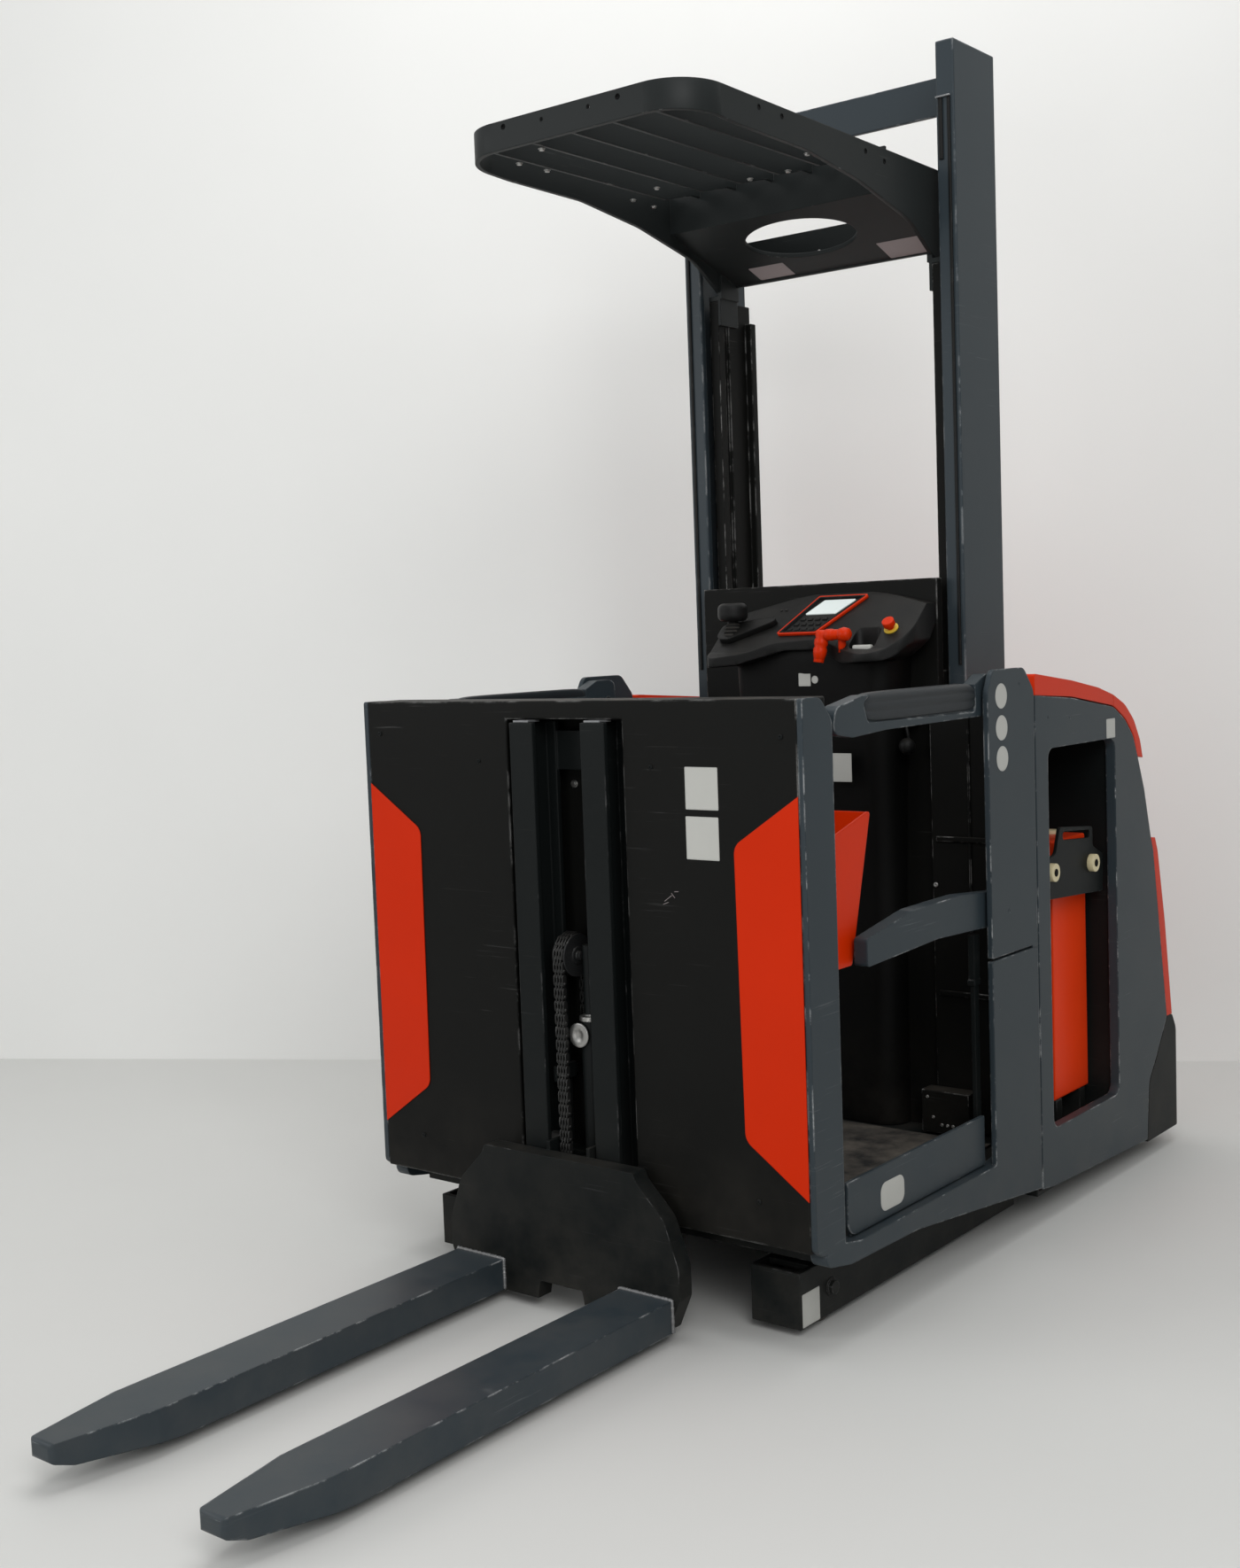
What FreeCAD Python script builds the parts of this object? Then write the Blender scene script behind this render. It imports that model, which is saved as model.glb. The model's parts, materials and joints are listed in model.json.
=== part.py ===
import FreeCAD, Part
import math
import os

# Order picker truck: a chassis with two straddle legs and a mast, an operator cab that
# rises on the mast, and a fork carriage that rises on the front wall of the cab.
# Every length is in mm. X is across the truck, Y runs from the forks to the rear and
# Z is up from the floor. While the pieces are made, Y is counted from the front face
# of the cab's wall; save() then moves them so that the origin is on the floor under
# the middle of the truck's length.

V = FreeCAD.Vector

# Overall sizes
half_width = 565.5
mast_top = 2652.0
fork_tip_y = -1129.0
rear_y = 1755.0
middle_y = (fork_tip_y + rear_y) / 2

# Clearances
seam_gap = 0.5
seat_gap = 0.3
swing_gap = 7.5

# Straddle legs and load wheels
leg_outer = half_width - 92.5
leg_inner = leg_outer - 114.0
leg_front = 79.0
leg_bottom = 18.0
leg_top = 130.0
leg_wall = 12.0
load_wheel_y = leg_front + 111.0
load_wheel_radius = 54.0
load_axle_radius = 14.0
load_wheel_play = 6.0

# Main mast
chassis_front = 943.0
upright_outer = half_width - 188.5
upright_web = 15.0
upright_lip = upright_outer - 45.0
upright_front = chassis_front + 42.0
mast_channel_rear = upright_front + 175.0
upright_rear = mast_channel_rear + 22.0
upright_flange = 18.0
tray_low = 60.0
tray_thick = 12.0
mast_bottom = tray_low + tray_thick
top_bar_low = mast_top - 111.0
top_bar_high = mast_top - 24.0
tie_thick = 12.0

# Battery
battery_half_width = half_width - 80.5
battery_front = upright_rear + 4.0
battery_rear = battery_front + 184.0
battery_bottom = 216.0
battery_top = battery_bottom + 622.0

# Chassis
panel_thick = 14.0
tray_side = half_width - panel_thick - seam_gap
rear_wall_y = battery_rear + 20.0
opening_front = chassis_front + 61.0
opening_rear = battery_rear + 2.0
opening_bottom = battery_bottom - 12.0
opening_top = battery_top + 232.0
opening_collar_depth = 24.0
hood_seam_y = rear_wall_y - 25.0
hood_ridge_width = 24.0
tail_corner = 30.0
bumper_inner = half_width - 30.0
bumper_front = rear_y - 225.0
bumper_wall = 55.0

# Drive
drive_wheel_y = rear_wall_y + 155.0
drive_wheel_radius = 120.0
drive_wheel_half_width = 45.0
yoke_inner = drive_wheel_half_width + 11.0
yoke_outer = yoke_inner + 20.0
yoke_half_length = 60.0
yoke_low = 262.0
yoke_high = 292.0
drive_mount_low = 336.0

# Cab
wall_bottom = 205.0
wall_top = 1233.0
wall_depth = 98.0
wall_sheet = 6.0
recess_half_width = 150.0
recess_top = wall_top - 37.0
strip_thick = 12.0
sill_inner = half_width - 35.5
sill_bottom = 150.0
sill_tail = 84.0
sill_top = 192.0
post_rear = chassis_front - 6.0
post_front = post_rear - 217.0
post_top = wall_top + 23.0
post_split = 638.0
floor_low = 152.0
floor_top = sill_top
floor_sheet = floor_top - 6.0
post_inner = half_width - strip_thick

# Inner posts that run in the mast and carry the overhead guard
inner_post_outer = upright_lip - 7.0
inner_post_thick = 26.0
inner_post_inner = inner_post_outer - inner_post_thick
inner_post_front = upright_front + 27.0
inner_post_rear = mast_channel_rear - 10.0
inner_post_low = 330.0
inner_post_top = mast_top - 477.0

# Back wall of the cab
back_wall_front = chassis_front + 7.0
back_wall_rear = back_wall_front + 25.0
back_wall_half = inner_post_outer + 1.0
back_wall_top = 1462.0
wing_front = chassis_front - 23.0
wing_rear = wing_front + 12.0

# Console: the slope is the rise of its face for each mm towards the rear
console_slope = 0.88
console_angle = math.degrees(math.atan(console_slope))
console_foot_y = 790.0
console_foot_z = 1300.0
console_low = 1262.0
console_rear = back_wall_front - seam_gap

# Overhead guard
guard_half = inner_post_outer - 23.0
guard_front = 80.0
guard_top = inner_post_top + 230.0
guard_rim = 57.0
guard_corner = 106.0
guard_sheet = 10.0
guard_rear = mast_channel_rear - 74.0
guard_plate_front = guard_rear - 269.0
guard_plate_rise = 93.0
guard_plate_low = inner_post_top + 38.0
guard_plate_thick = 10.0
guard_hole_length = 292.0
guard_hole_width = 156.0
slat_low = guard_top - guard_rim + 4.0
slat_high = guard_top - 3.0
slat_pitch = 104.0
slat_half_thick = 4.0
accessory_pitch = 120.0
accessory_z = guard_top - 19.0
accessory_hole_radius = 4.5

# Gates
gate_pivot_y = post_front + 70.0
gate_outer = post_inner - swing_gap
gate_inner = gate_outer - 30.0
gate_pin_radius = 12.0
gate_pin_play = 0.4
upper_gate_z = post_top - 63.0
lower_gate_z = 745.0
pad_front = 262.0
pad_rear = 702.0
pad_low = upper_gate_z - 19.0
pad_high = upper_gate_z + 39.0
pad_sheet = 4.0

# Fork mast, carriage and forks
fork_rail_inner = 62.0
fork_rail_outer = 123.0
fork_rail_front = -22.0
fork_rail_rear = 62.0
fork_rail_low = wall_bottom + 9.0
fork_rail_top = recess_top - 6.0
fork_rail_flange = 12.0
carriage_front = -72.0
carriage_rear = carriage_front + 40.0
fork_outer = 280.0
fork_width = 127.0
fork_top = 86.0
fork_bottom = 22.0
chain_wheel_z = 715.0
chain_wheel_radius = 38.0
chain_wheel_y = 32.0


def box(x0, x1, y0, y1, z0, z1):
    """A block between two corners."""
    return Part.makeBox(x1 - x0, y1 - y0, z1 - z0, V(x0, y0, z0))


def rod_x(x0, x1, y, z, radius):
    """A round bar along X."""
    return Part.makeCylinder(radius, x1 - x0, V(x0, y, z), V(1, 0, 0))


def rod_y(y0, y1, x, z, radius):
    """A round bar along Y."""
    return Part.makeCylinder(radius, y1 - y0, V(x, y0, z), V(0, 1, 0))


def rod_z(z0, z1, x, y, radius):
    """A round bar along Z."""
    return Part.makeCylinder(radius, z1 - z0, V(x, y, z0), V(0, 0, 1))


def rounded_wire(points):
    """A closed outline from rows of 3-D corner and corner radius."""
    count = len(points)
    starts = []
    ends = []
    middles = []
    for index, (corner, radius) in enumerate(points):
        before = points[index - 1][0]
        after = points[(index + 1) % count][0]
        to_before = (before - corner).normalize()
        to_after = (after - corner).normalize()
        half_angle = to_before.getAngle(to_after) / 2
        if radius <= 0 or half_angle > 1.56:
            starts.append(corner)
            ends.append(corner)
            middles.append(None)
            continue
        reach = radius / math.tan(half_angle)
        to_centre = (to_before + to_after).normalize()
        centre = corner + to_centre * (radius / math.sin(half_angle))
        starts.append(corner + to_before * reach)
        ends.append(corner + to_after * reach)
        middles.append(centre - to_centre * radius)
    edges = []
    for index in range(count):
        if middles[index] is not None:
            edges.append(Part.Arc(starts[index], middles[index], ends[index]).toShape())
        following = starts[(index + 1) % count]
        if (following - ends[index]).Length > 1e-6:
            edges.append(Part.makeLine(ends[index], following))
    return Part.Wire(edges)


def pushed(wire, direction):
    """The solid that a flat outline sweeps along a direction."""
    body = Part.Face(wire).extrude(direction)
    if body.Volume < 0:
        body.reverse()
    return body


def side_plate(rows, x0, x1):
    """An outline of (y, z, corner radius) rows, from x0 to x1."""
    wire = rounded_wire([(V(x0, y, z), radius) for y, z, radius in rows])
    return pushed(wire, V(x1 - x0, 0, 0))


def front_plate(rows, y0, y1):
    """An outline of (x, z, corner radius) rows, from y0 to y1."""
    wire = rounded_wire([(V(x, y0, z), radius) for x, z, radius in rows])
    return pushed(wire, V(0, y1 - y0, 0))


def flat_plate(rows, z0, z1):
    """An outline of (x, y, corner radius) rows, from z0 to z1."""
    wire = rounded_wire([(V(x, y, z0), radius) for x, y, radius in rows])
    return pushed(wire, V(0, 0, z1 - z0))


def mirrored(shape):
    """The same piece on the other side of the truck."""
    return shape.mirror(V(0, 0, 0), V(1, 0, 0))


def joined(*shapes):
    """One solid out of pieces that touch or overlap."""
    result = shapes[0].fuse(list(shapes[1:]))
    return result.removeSplitter()


def save(node, *shapes):
    """Writes the solids of one node, moved to the truck's own origin."""
    solids = []
    for shape in shapes:
        solids.extend(shape.Solids)
    piece = Part.makeCompound(solids) if len(solids) > 1 else solids[0].copy()
    piece.translate(V(0, -middle_y, 0))
    piece.exportStep("parts/" + node + ".step")


os.makedirs("parts", exist_ok=True)


# Chassis frame: the legs, hollow from below round the load wheels, and the base tray
leg = box(leg_inner, leg_outer, leg_front, chassis_front + 40, leg_bottom, leg_top)
leg_hollow = box(leg_inner + leg_wall, leg_outer - leg_wall, leg_front + leg_wall,
                 chassis_front - 60, leg_bottom - 1, leg_top - leg_wall)
leg_mouth = box(leg_inner + leg_wall, leg_outer - leg_wall, leg_front + leg_wall,
                leg_front + 50, leg_top - leg_wall - 1, leg_top + 1)
leg = leg.cut(leg_hollow).cut(leg_mouth)
leg = leg.fuse(rod_x(leg_inner + 2, leg_outer - 2, load_wheel_y, load_wheel_radius, load_axle_radius))
tray = box(-tray_side, tray_side, chassis_front, bumper_front, tray_low, mast_bottom)
tail_tray_side = bumper_inner - seat_gap
tail_tray = box(-tail_tray_side, tail_tray_side, bumper_front - 1, rear_y - bumper_wall - seat_gap,
                tray_low, mast_bottom)
wheel_hole = rod_z(tray_low - 10, mast_bottom + 8, 0, drive_wheel_y, drive_wheel_radius + 20)
bulkhead = box(-tray_side, tray_side, rear_wall_y - 8, rear_wall_y, mast_bottom - 6, opening_top + 60)
tower_face = box(upright_outer + 3, tray_side, chassis_front, chassis_front + 8, mast_bottom - 6, 1170)
rail_top = battery_bottom - seat_gap
battery_rail = box(-battery_half_width, battery_half_width, battery_front + 4, battery_front + 34,
                   mast_bottom - 6, rail_top)
battery_rail_rear = box(-battery_half_width, battery_half_width, battery_rear - 50, battery_rear - 20,
                        mast_bottom - 6, rail_top)
leg_tie = box(leg_inner, leg_outer, chassis_front, chassis_front + 40, tray_low, leg_top)
save("chassis_frame",
     joined(leg, mirrored(leg), tray.fuse(tail_tray).cut(wheel_hole), bulkhead, tower_face,
            mirrored(tower_face), battery_rail, battery_rail_rear, leg_tie, mirrored(leg_tie)))

# Side panels with the battery opening
panel_rows = [
    (chassis_front, 80, 0),
    (chassis_front + 60, 72, 60),
    (rear_wall_y + 148, 48, 0),
    (rear_wall_y + 163, 195, 40),
    (rear_wall_y + 206, 242, 20),
    (rear_wall_y + 282, 337, 10),
    (rear_wall_y + 207, 772, 10),
    (rear_wall_y + 191, 812, 6),
    (rear_wall_y + 155, 930, 60),
    (rear_wall_y + 113, 1023, 50),
    (rear_wall_y + 90, 1068, 60),
    (rear_wall_y + 43, 1110, 60),
    (rear_wall_y - 24, 1144, 80),
    (chassis_front + 191, 1177, 200),
    (chassis_front, 1192, 0),
]
opening_rows = [
    (opening_front, opening_bottom, 26),
    (opening_rear, opening_bottom, 26),
    (opening_rear, opening_top, 26),
    (opening_front, opening_top, 26),
]
side_panel = side_plate(panel_rows, half_width - panel_thick, half_width)
side_opening = side_plate(opening_rows, half_width - 60, half_width + 10)
opening_frame_rows = [
    (opening_front - 6, opening_bottom - 6, 32),
    (opening_rear + 6, opening_bottom - 6, 32),
    (opening_rear + 6, opening_top + 6, 32),
    (opening_front - 6, opening_top + 6, 32),
]
opening_collar = side_plate(opening_frame_rows, half_width - opening_collar_depth, half_width - panel_thick)
side_panel = side_panel.fuse(opening_collar).cut(side_opening).removeSplitter()
save("side_panels", side_panel, mirrored(side_panel))

# Battery with its lock plates, which stand out almost to the side panels
battery = box(-battery_half_width, battery_half_width, battery_front, battery_rear,
              battery_bottom, battery_top)
save("battery", battery)

lock_inner = battery_half_width + 43
lock_outer = lock_inner + 8
lock_plate_rows = [
    (battery_rear - 350, 722, 8),
    (battery_rear - 12, 702, 8),
    (battery_rear - 12, 792, 8),
    (battery_rear - 68, 816, 14),
    (battery_rear - 68, 864, 12),
    (battery_rear - 246, 880, 12),
    (battery_rear - 270, 820, 14),
    (battery_rear - 350, 806, 8),
]
slot_rows = [
    (battery_rear - 232, 848, 9),
    (battery_rear - 84, 838, 9),
    (battery_rear - 84, 857, 9),
    (battery_rear - 232, 868, 9),
]
lock_plate = side_plate(lock_plate_rows, lock_inner, lock_outer)
lock_plate = lock_plate.cut(side_plate(slot_rows, lock_inner - 10, lock_outer + 10))
lock_stand = box(battery_half_width + seat_gap, lock_inner + 1, battery_front + 30, battery_rear - 60, 730, 800)
lock_plate = joined(lock_plate, lock_stand)
save("battery_lock_plates", lock_plate, mirrored(lock_plate))
roller_rows = [
    (battery_rear - 302, 782, 21),
    (battery_rear - 83, 778, 21),
]
rollers = []
for roller_y, roller_z, roller_radius in roller_rows:
    roller = rod_x(lock_outer + seat_gap, lock_outer + 15, roller_y, roller_z, roller_radius)
    rollers.extend([roller, mirrored(roller)])
save("battery_lock_rollers", *rollers)

# Red hood over the towers and the battery, in two pieces with a seam. A ridge runs along
# each side, lower in front on the left one, and the sheet between the ridges is dished.
hood_ridge_rows = [
    (chassis_front, 1240, 6),
    (chassis_front + 193, 1217, 200),
    (rear_wall_y - 109, 1194, 200),
    (rear_wall_y - 23, 1173, 120),
    (rear_wall_y + 44, 1147, 100),
    (rear_wall_y + 96, 1107, 80),
    (rear_wall_y + 133, 1055, 60),
    (rear_wall_y + 148, 1010, 0),
]
low_ridge_rows = [
    (chassis_front, 1203, 6),
    (chassis_front + 193, 1190, 200),
    (rear_wall_y - 109, 1180, 200),
] + hood_ridge_rows[3:]
ridge_under_rows = [
    (rear_wall_y + 117, 1016, 0),
    (rear_wall_y + 93.5, 1070, 60),
    (rear_wall_y + 45, 1113, 60),
    (rear_wall_y - 23, 1147, 80),
    (chassis_front + 192, 1180, 200),
    (chassis_front, 1192.5, 0),
]
sheet_top_rows = [
    (chassis_front, 1184, 0),
    (chassis_front + 270, 1150, 80),
    (rear_wall_y - 80, 1180, 60),
    (rear_wall_y - 20, 1171, 80),
    (rear_wall_y + 44, 1146, 80),
    (rear_wall_y + 95, 1106, 70),
    (rear_wall_y + 131, 1055, 50),
    (rear_wall_y + 146, 1010, 0),
]
sheet_under_rows = [
    (rear_wall_y + 138, 1007, 0),
    (rear_wall_y + 123, 1050, 50),
    (rear_wall_y + 90, 1099, 70),
    (rear_wall_y + 40, 1138, 80),
    (rear_wall_y - 20, 1163, 80),
    (rear_wall_y - 80, 1172, 60),
    (chassis_front + 270, 1142, 80),
    (chassis_front, 1176, 0),
]
hood_sheet = side_plate(sheet_top_rows + sheet_under_rows, -tray_side, tray_side)
ridge = side_plate(hood_ridge_rows + ridge_under_rows, half_width - hood_ridge_width, half_width)
ridge_foot = side_plate(hood_ridge_rows + sheet_under_rows, half_width - hood_ridge_width, tray_side)
mast_notch = box(-upright_outer - 8, upright_outer + 8, chassis_front - 5, upright_rear + 20, 1000, 1300)
low_ridge = side_plate(low_ridge_rows + ridge_under_rows, -half_width, hood_ridge_width - half_width)
low_ridge_foot = side_plate(low_ridge_rows + sheet_under_rows, -tray_side, hood_ridge_width - half_width)
hood = joined(hood_sheet, ridge, ridge_foot, low_ridge, low_ridge_foot).cut(mast_notch)
front_cut = box(-700, 700, chassis_front - 10, hood_seam_y - 1, 900, 1400)
rear_cut = box(-700, 700, hood_seam_y + 1, rear_y, 900, 1400)
save("hood_front", hood.common(front_cut))
save("hood_rear", hood.common(rear_cut))

# Rear cover: the dark upper back and the red lower back panel
rear_shell_rows = [
    (rear_wall_y + 145, 1008, 0),
    (rear_wall_y + 161, 921, 100),
    (rear_wall_y + 192, 829, 0),
    (rear_wall_y + 213, 816, 3),
    (rear_wall_y + 213, 807, 0),
    (rear_wall_y + 182, 812, 0),
    (rear_wall_y + 151, 921, 100),
    (rear_wall_y + 131, 1000, 0),
    (rear_wall_y + 119, 1013, 0),
]
rear_upper = side_plate(rear_shell_rows, -tray_side + seat_gap, tray_side - seat_gap)
rear_upper = rear_upper.cut(hood)
save("rear_upper_cover", rear_upper)
rear_lower_rows = [
    (rear_wall_y + 219, 804, 6),
    (rear_wall_y + 235, 769, 20),
    (rear_wall_y + 276, 583, 0),
    (rear_wall_y + 315, 338, 0),
    (rear_wall_y + 283, 338, 0),
    (rear_wall_y + 207.6, 772.4, 10),
    (rear_wall_y + 194, 806, 0),
]
rear_lower = side_plate(rear_lower_rows, -half_width, half_width)
rear_plan = flat_plate([(-half_width, rear_wall_y + 110, 0), (-half_width, rear_y, tail_corner),
                        (half_width, rear_y, tail_corner), (half_width, rear_wall_y + 110, 0)], 0, 1000)
rear_lower = rear_lower.common(rear_plan)
save("rear_lower_cover", rear_lower)

# Rear bumper: a curved band round the tail, hollow behind
bumper_rows = [
    (rear_wall_y + 150, 42, 0),
    (rear_y - 18, 42, 12),
    (rear_y, 205, 0),
    (rear_y, 258, 12),
    (rear_y - 49, 337, 10),
    (rear_wall_y + 285, 337, 0),
    (rear_wall_y + 209, 240, 20),
    (rear_wall_y + 166, 194, 40),
]
bumper = side_plate(bumper_rows, -half_width, half_width)
bumper_void = box(-bumper_inner, bumper_inner, rear_wall_y + 100, rear_y - bumper_wall, 0, 400)
bumper = bumper.cut(bumper_void).common(rear_plan)
save("rear_bumper", bumper)

# Main mast: two channels that face each other, with thick rear legs and three flat ties
upright = box(upright_lip, upright_outer, upright_front, upright_rear, mast_bottom + seam_gap, mast_top)
upright = upright.cut(box(upright_lip - 1, upright_outer - upright_web, upright_front + upright_flange,
                          mast_channel_rear - upright_flange, 0, mast_top + 10))
mast_tie_rows = [
    (mast_bottom + seam_gap, 260),
    (1100, 1140),
    (top_bar_low, top_bar_high),
]
mast_pieces = [upright, mirrored(upright)]
for tie_low, tie_high in mast_tie_rows:
    mast_pieces.append(box(-upright_outer + 4, upright_outer - 4, mast_channel_rear - 4,
                           mast_channel_rear - 4 + tie_thick, tie_low, tie_high))
save("main_mast", joined(*mast_pieces))

# Drive: the motor and pump block under the hood, the steered fork and the wheel
power_pack = box(-300, 300, rear_wall_y + seam_gap, rear_wall_y + 120, 420, 960)
save("power_pack", power_pack)
drive_plate = box(-200, 200, rear_wall_y + seam_gap, rear_y - 105, drive_mount_low, drive_mount_low + 16)
drive_legs = box(-200, 200, rear_wall_y + seam_gap, rear_wall_y + 14, mast_bottom + seam_gap, drive_mount_low + 4)
save("drive_mount", joined(drive_plate, drive_legs))
steer_ring = rod_z(yoke_high - 2, drive_mount_low - seat_gap, 0, drive_wheel_y, 100)
yoke_front = drive_wheel_y - yoke_half_length
yoke_back = drive_wheel_y + yoke_half_length
yoke_side = box(yoke_inner, yoke_outer, yoke_front, yoke_back, 60, yoke_high)
yoke_top = box(-yoke_outer, yoke_outer, yoke_front, yoke_back, yoke_low, yoke_high)
steer_yoke = joined(yoke_side, mirrored(yoke_side), yoke_top, steer_ring,
                    rod_x(-yoke_inner - 4, yoke_inner + 4, drive_wheel_y, drive_wheel_radius, 16))
save("steer_yoke", steer_yoke)


def wheel(x0, x1, y, radius, hub_radius, bore_radius):
    """A solid tyre with rounded shoulders and the hub inside it."""
    tyre = rod_x(x0, x1, y, radius, radius)
    tyre = tyre.makeFillet(5, [edge for edge in tyre.Edges if edge.Length > 3 * radius])
    tyre = tyre.cut(rod_x(x0 - 1, x1 + 1, y, radius, hub_radius))
    hub = rod_x(x0 + 2, x1 - 2, y, radius, hub_radius).cut(rod_x(x0 - 1, x1 + 1, y, radius, bore_radius))
    return tyre, hub


drive_tyre, drive_hub = wheel(-drive_wheel_half_width, drive_wheel_half_width, drive_wheel_y,
                              drive_wheel_radius, 88, 16.4)
save("drive_tyre", drive_tyre)
save("drive_hub", drive_hub)
load_tyre, load_hub = wheel(leg_inner + leg_wall + load_wheel_play, leg_outer - leg_wall - load_wheel_play,
                            load_wheel_y, load_wheel_radius, 36, load_axle_radius + 0.4)
save("load_tyre_right", load_tyre)
save("load_hub_right", load_hub)
save("load_tyre_left", mirrored(load_tyre))
save("load_hub_left", mirrored(load_hub))

# Cab front wall: a hollow box, open below, with the recess of the fork mast
wall_inner_x = post_inner - seam_gap
front_wall = box(-wall_inner_x, wall_inner_x, 0, wall_depth, wall_bottom, wall_top)
recess = box(-recess_half_width, recess_half_width, -1, wall_depth - wall_sheet, wall_bottom - 1, recess_top)
pocket = box(recess_half_width + wall_sheet, wall_inner_x - wall_sheet, wall_sheet,
             wall_depth - wall_sheet, wall_bottom - 1, wall_top - wall_sheet)
front_wall = front_wall.cut(recess).cut(pocket).cut(mirrored(pocket))
save("front_wall", front_wall)

# Red panels on the wall
panel_edge = wall_inner_x - 0.5
red_rows = [
    (panel_edge, 1056, 0),
    (panel_edge - 144.5, 960, 30),
    (panel_edge - 138.5, 402, 30),
    (panel_edge, 305, 0),
]
red_panel = front_plate(red_rows, -2.0, -seat_gap)
save("wall_panels", red_panel, mirrored(red_panel))

# Side frames of the cab: strip, sill and lower post in one welded piece
strip_foot = wall_bottom - 6
strip_rows = [
    (0, wall_bottom + 8, 14),
    (20, strip_foot, 10),
    (wall_depth + 2, strip_foot, 0),
    (wall_depth + 2, wall_top - 43, 30),
    (60, wall_top, 30),
    (0, wall_top, 6),
]
strip = side_plate(strip_rows, post_inner, half_width)
sill_rows = [
    (26, strip_foot + 3, 12),
    (38, 172, 20),
    (119, 156, 30),
    (374, sill_bottom, 200),
    (post_rear, sill_tail, 0),
    (post_rear, sill_top + 22, 0),
    (post_rear - 60, sill_top + 18, 60),
    (post_front + 20, sill_top, 60),
    (157, sill_top, 20),
    (100, strip_foot + 4, 10),
]
sill = side_plate(sill_rows, sill_inner, half_width)
post_seam_low = post_split - 3
post_seam_high = post_split + 3
lower_post = side_plate([(post_front, sill_top - 10, 0), (post_rear, sill_top - 10, 0),
                         (post_rear, post_seam_low, 0), (post_front, post_seam_low, 4)],
                        post_inner, half_width)
post_return = box(sill_inner + 1, half_width, post_rear - strip_thick, post_rear, sill_top - 10, post_seam_low)
side_frame = joined(strip, sill, lower_post, post_return)
save("cab_side_frames", side_frame, mirrored(side_frame))

# Upper posts that carry the gates
post_step = post_rear - 26
post_rows = [
    (post_front, post_seam_high, 4),
    (post_step, post_seam_high, 0),
    (post_step, post_seam_low + seat_gap, 0),
    (post_rear, post_seam_low + seat_gap, 0),
    (post_rear, post_top - 51, 30),
    (post_rear - 47, post_top, 30),
    (post_front + 25, post_top, 24),
    (post_front, post_top - 46, 24),
]
upper_post = side_plate(post_rows, post_inner, half_width)
upper_return = box(half_width - 40, half_width - 1, post_rear - strip_thick, post_rear,
                   post_seam_high, post_top - 66)
upper_pin = rod_x(gate_inner + 4, half_width - 2, gate_pivot_y, upper_gate_z, gate_pin_radius)
lower_pin = rod_x(gate_inner + 4, half_width - 2, gate_pivot_y, lower_gate_z, gate_pin_radius)
upper_post = joined(upper_post, upper_return, upper_pin, lower_pin)
save("cab_posts", upper_post, mirrored(upper_post))

# Floor with the kick plates
floor_edge = sill_inner - seam_gap
floor = joined(box(-floor_edge, floor_edge, wall_depth + seam_gap, post_rear, floor_low, floor_sheet),
               box(-back_wall_half, back_wall_half, post_rear - 1, back_wall_front - seam_gap,
                   floor_low, floor_sheet))
floor_mat = box(-floor_edge + 50, floor_edge - 50, wall_depth + 20, 860, floor_sheet + seat_gap, floor_top)
save("cab_floor", floor)
save("floor_mat", floor_mat)
kick_rows = [
    (142, sill_top + 4, 30),
    (post_front - 16, sill_top + 4, 4),
    (post_front - 16, sill_top + 111, 4),
    (142, sill_top + 111, 4),
]
kick_plate = side_plate(kick_rows, sill_inner + 8, sill_inner + 16)
kick_foot = box(sill_inner + 2, sill_inner + 9, 160, post_front - 30, sill_top + seam_gap, sill_top + 12)
kick_plate = joined(kick_plate, kick_foot)
save("kick_plates", kick_plate, mirrored(kick_plate))

# Back wall of the cab, the wings that close its sides and the inner posts in the mast
back_wall = box(-back_wall_half, back_wall_half, back_wall_front, back_wall_rear, floor_low, back_wall_top)
wing = box(back_wall_half - 10, half_width - 42, wing_front, wing_rear, floor_top, 1190)
wing_link = box(back_wall_half - 12, back_wall_half, wing_front + 5, back_wall_rear, floor_top, 1190)
inner_post = box(inner_post_inner, inner_post_outer, inner_post_front, inner_post_rear,
                 inner_post_low, inner_post_top)
post_lip = box(inner_post_inner - 18, inner_post_inner + 1, inner_post_rear - 22, inner_post_rear,
               inner_post_low, inner_post_top - 45)
post_groove = box(inner_post_inner - 1, inner_post_inner + 8, inner_post_front + 26, inner_post_front + 44,
                  back_wall_top, inner_post_top + 1)
inner_post = inner_post.fuse(post_lip).cut(post_groove)
tie_rows = [
    (360, 430),
    (780, 850),
    (1180, 1250),
]
ties = []
for tie_low, tie_high in tie_rows:
    ties.append(box(inner_post_outer - 40, inner_post_outer - 2, back_wall_rear - 5, inner_post_front + 20,
                    tie_low, tie_high))
mast_roller_radius = (mast_channel_rear - upright_front) / 2 - upright_flange - seat_gap
mast_rollers = []
for roller_z in (440, 1180):
    roller = rod_x(inner_post_outer + seat_gap, inner_post_outer + 36,
                   (upright_front + mast_channel_rear) / 2, roller_z, mast_roller_radius)
    mast_rollers.extend([roller, mirrored(roller)])
cab_back_half = joined(wing, wing_link, inner_post, *ties)
save("cab_back_frame", joined(back_wall, cab_back_half, mirrored(cab_back_half)))
save("mast_rollers", *mast_rollers)

# Console column: a moulding with two rounded front edges, wider towards the top
column_foot = floor_sheet + seat_gap
column_sections = [
    # height, left side, right side, front, corner radius
    (column_foot, -160, 226, 886, 55),
    (640, -162, 230, 884, 55),
    (1000, -170, 240, 862, 55),
    (1180, -176, 250, 842, 55),
    (1330, -178, 262, 838, 55),
]


def column_outline(z, left, right, front, radius):
    """The column's outline at one height, closed behind against the back wall."""
    return rounded_wire([(V(left, console_rear, z), 0), (V(left, front, z), radius),
                         (V(right, front, z), radius), (V(right, console_rear, z), 0)])


console_column = Part.makeLoft([column_outline(*row) for row in column_sections], True)

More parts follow.
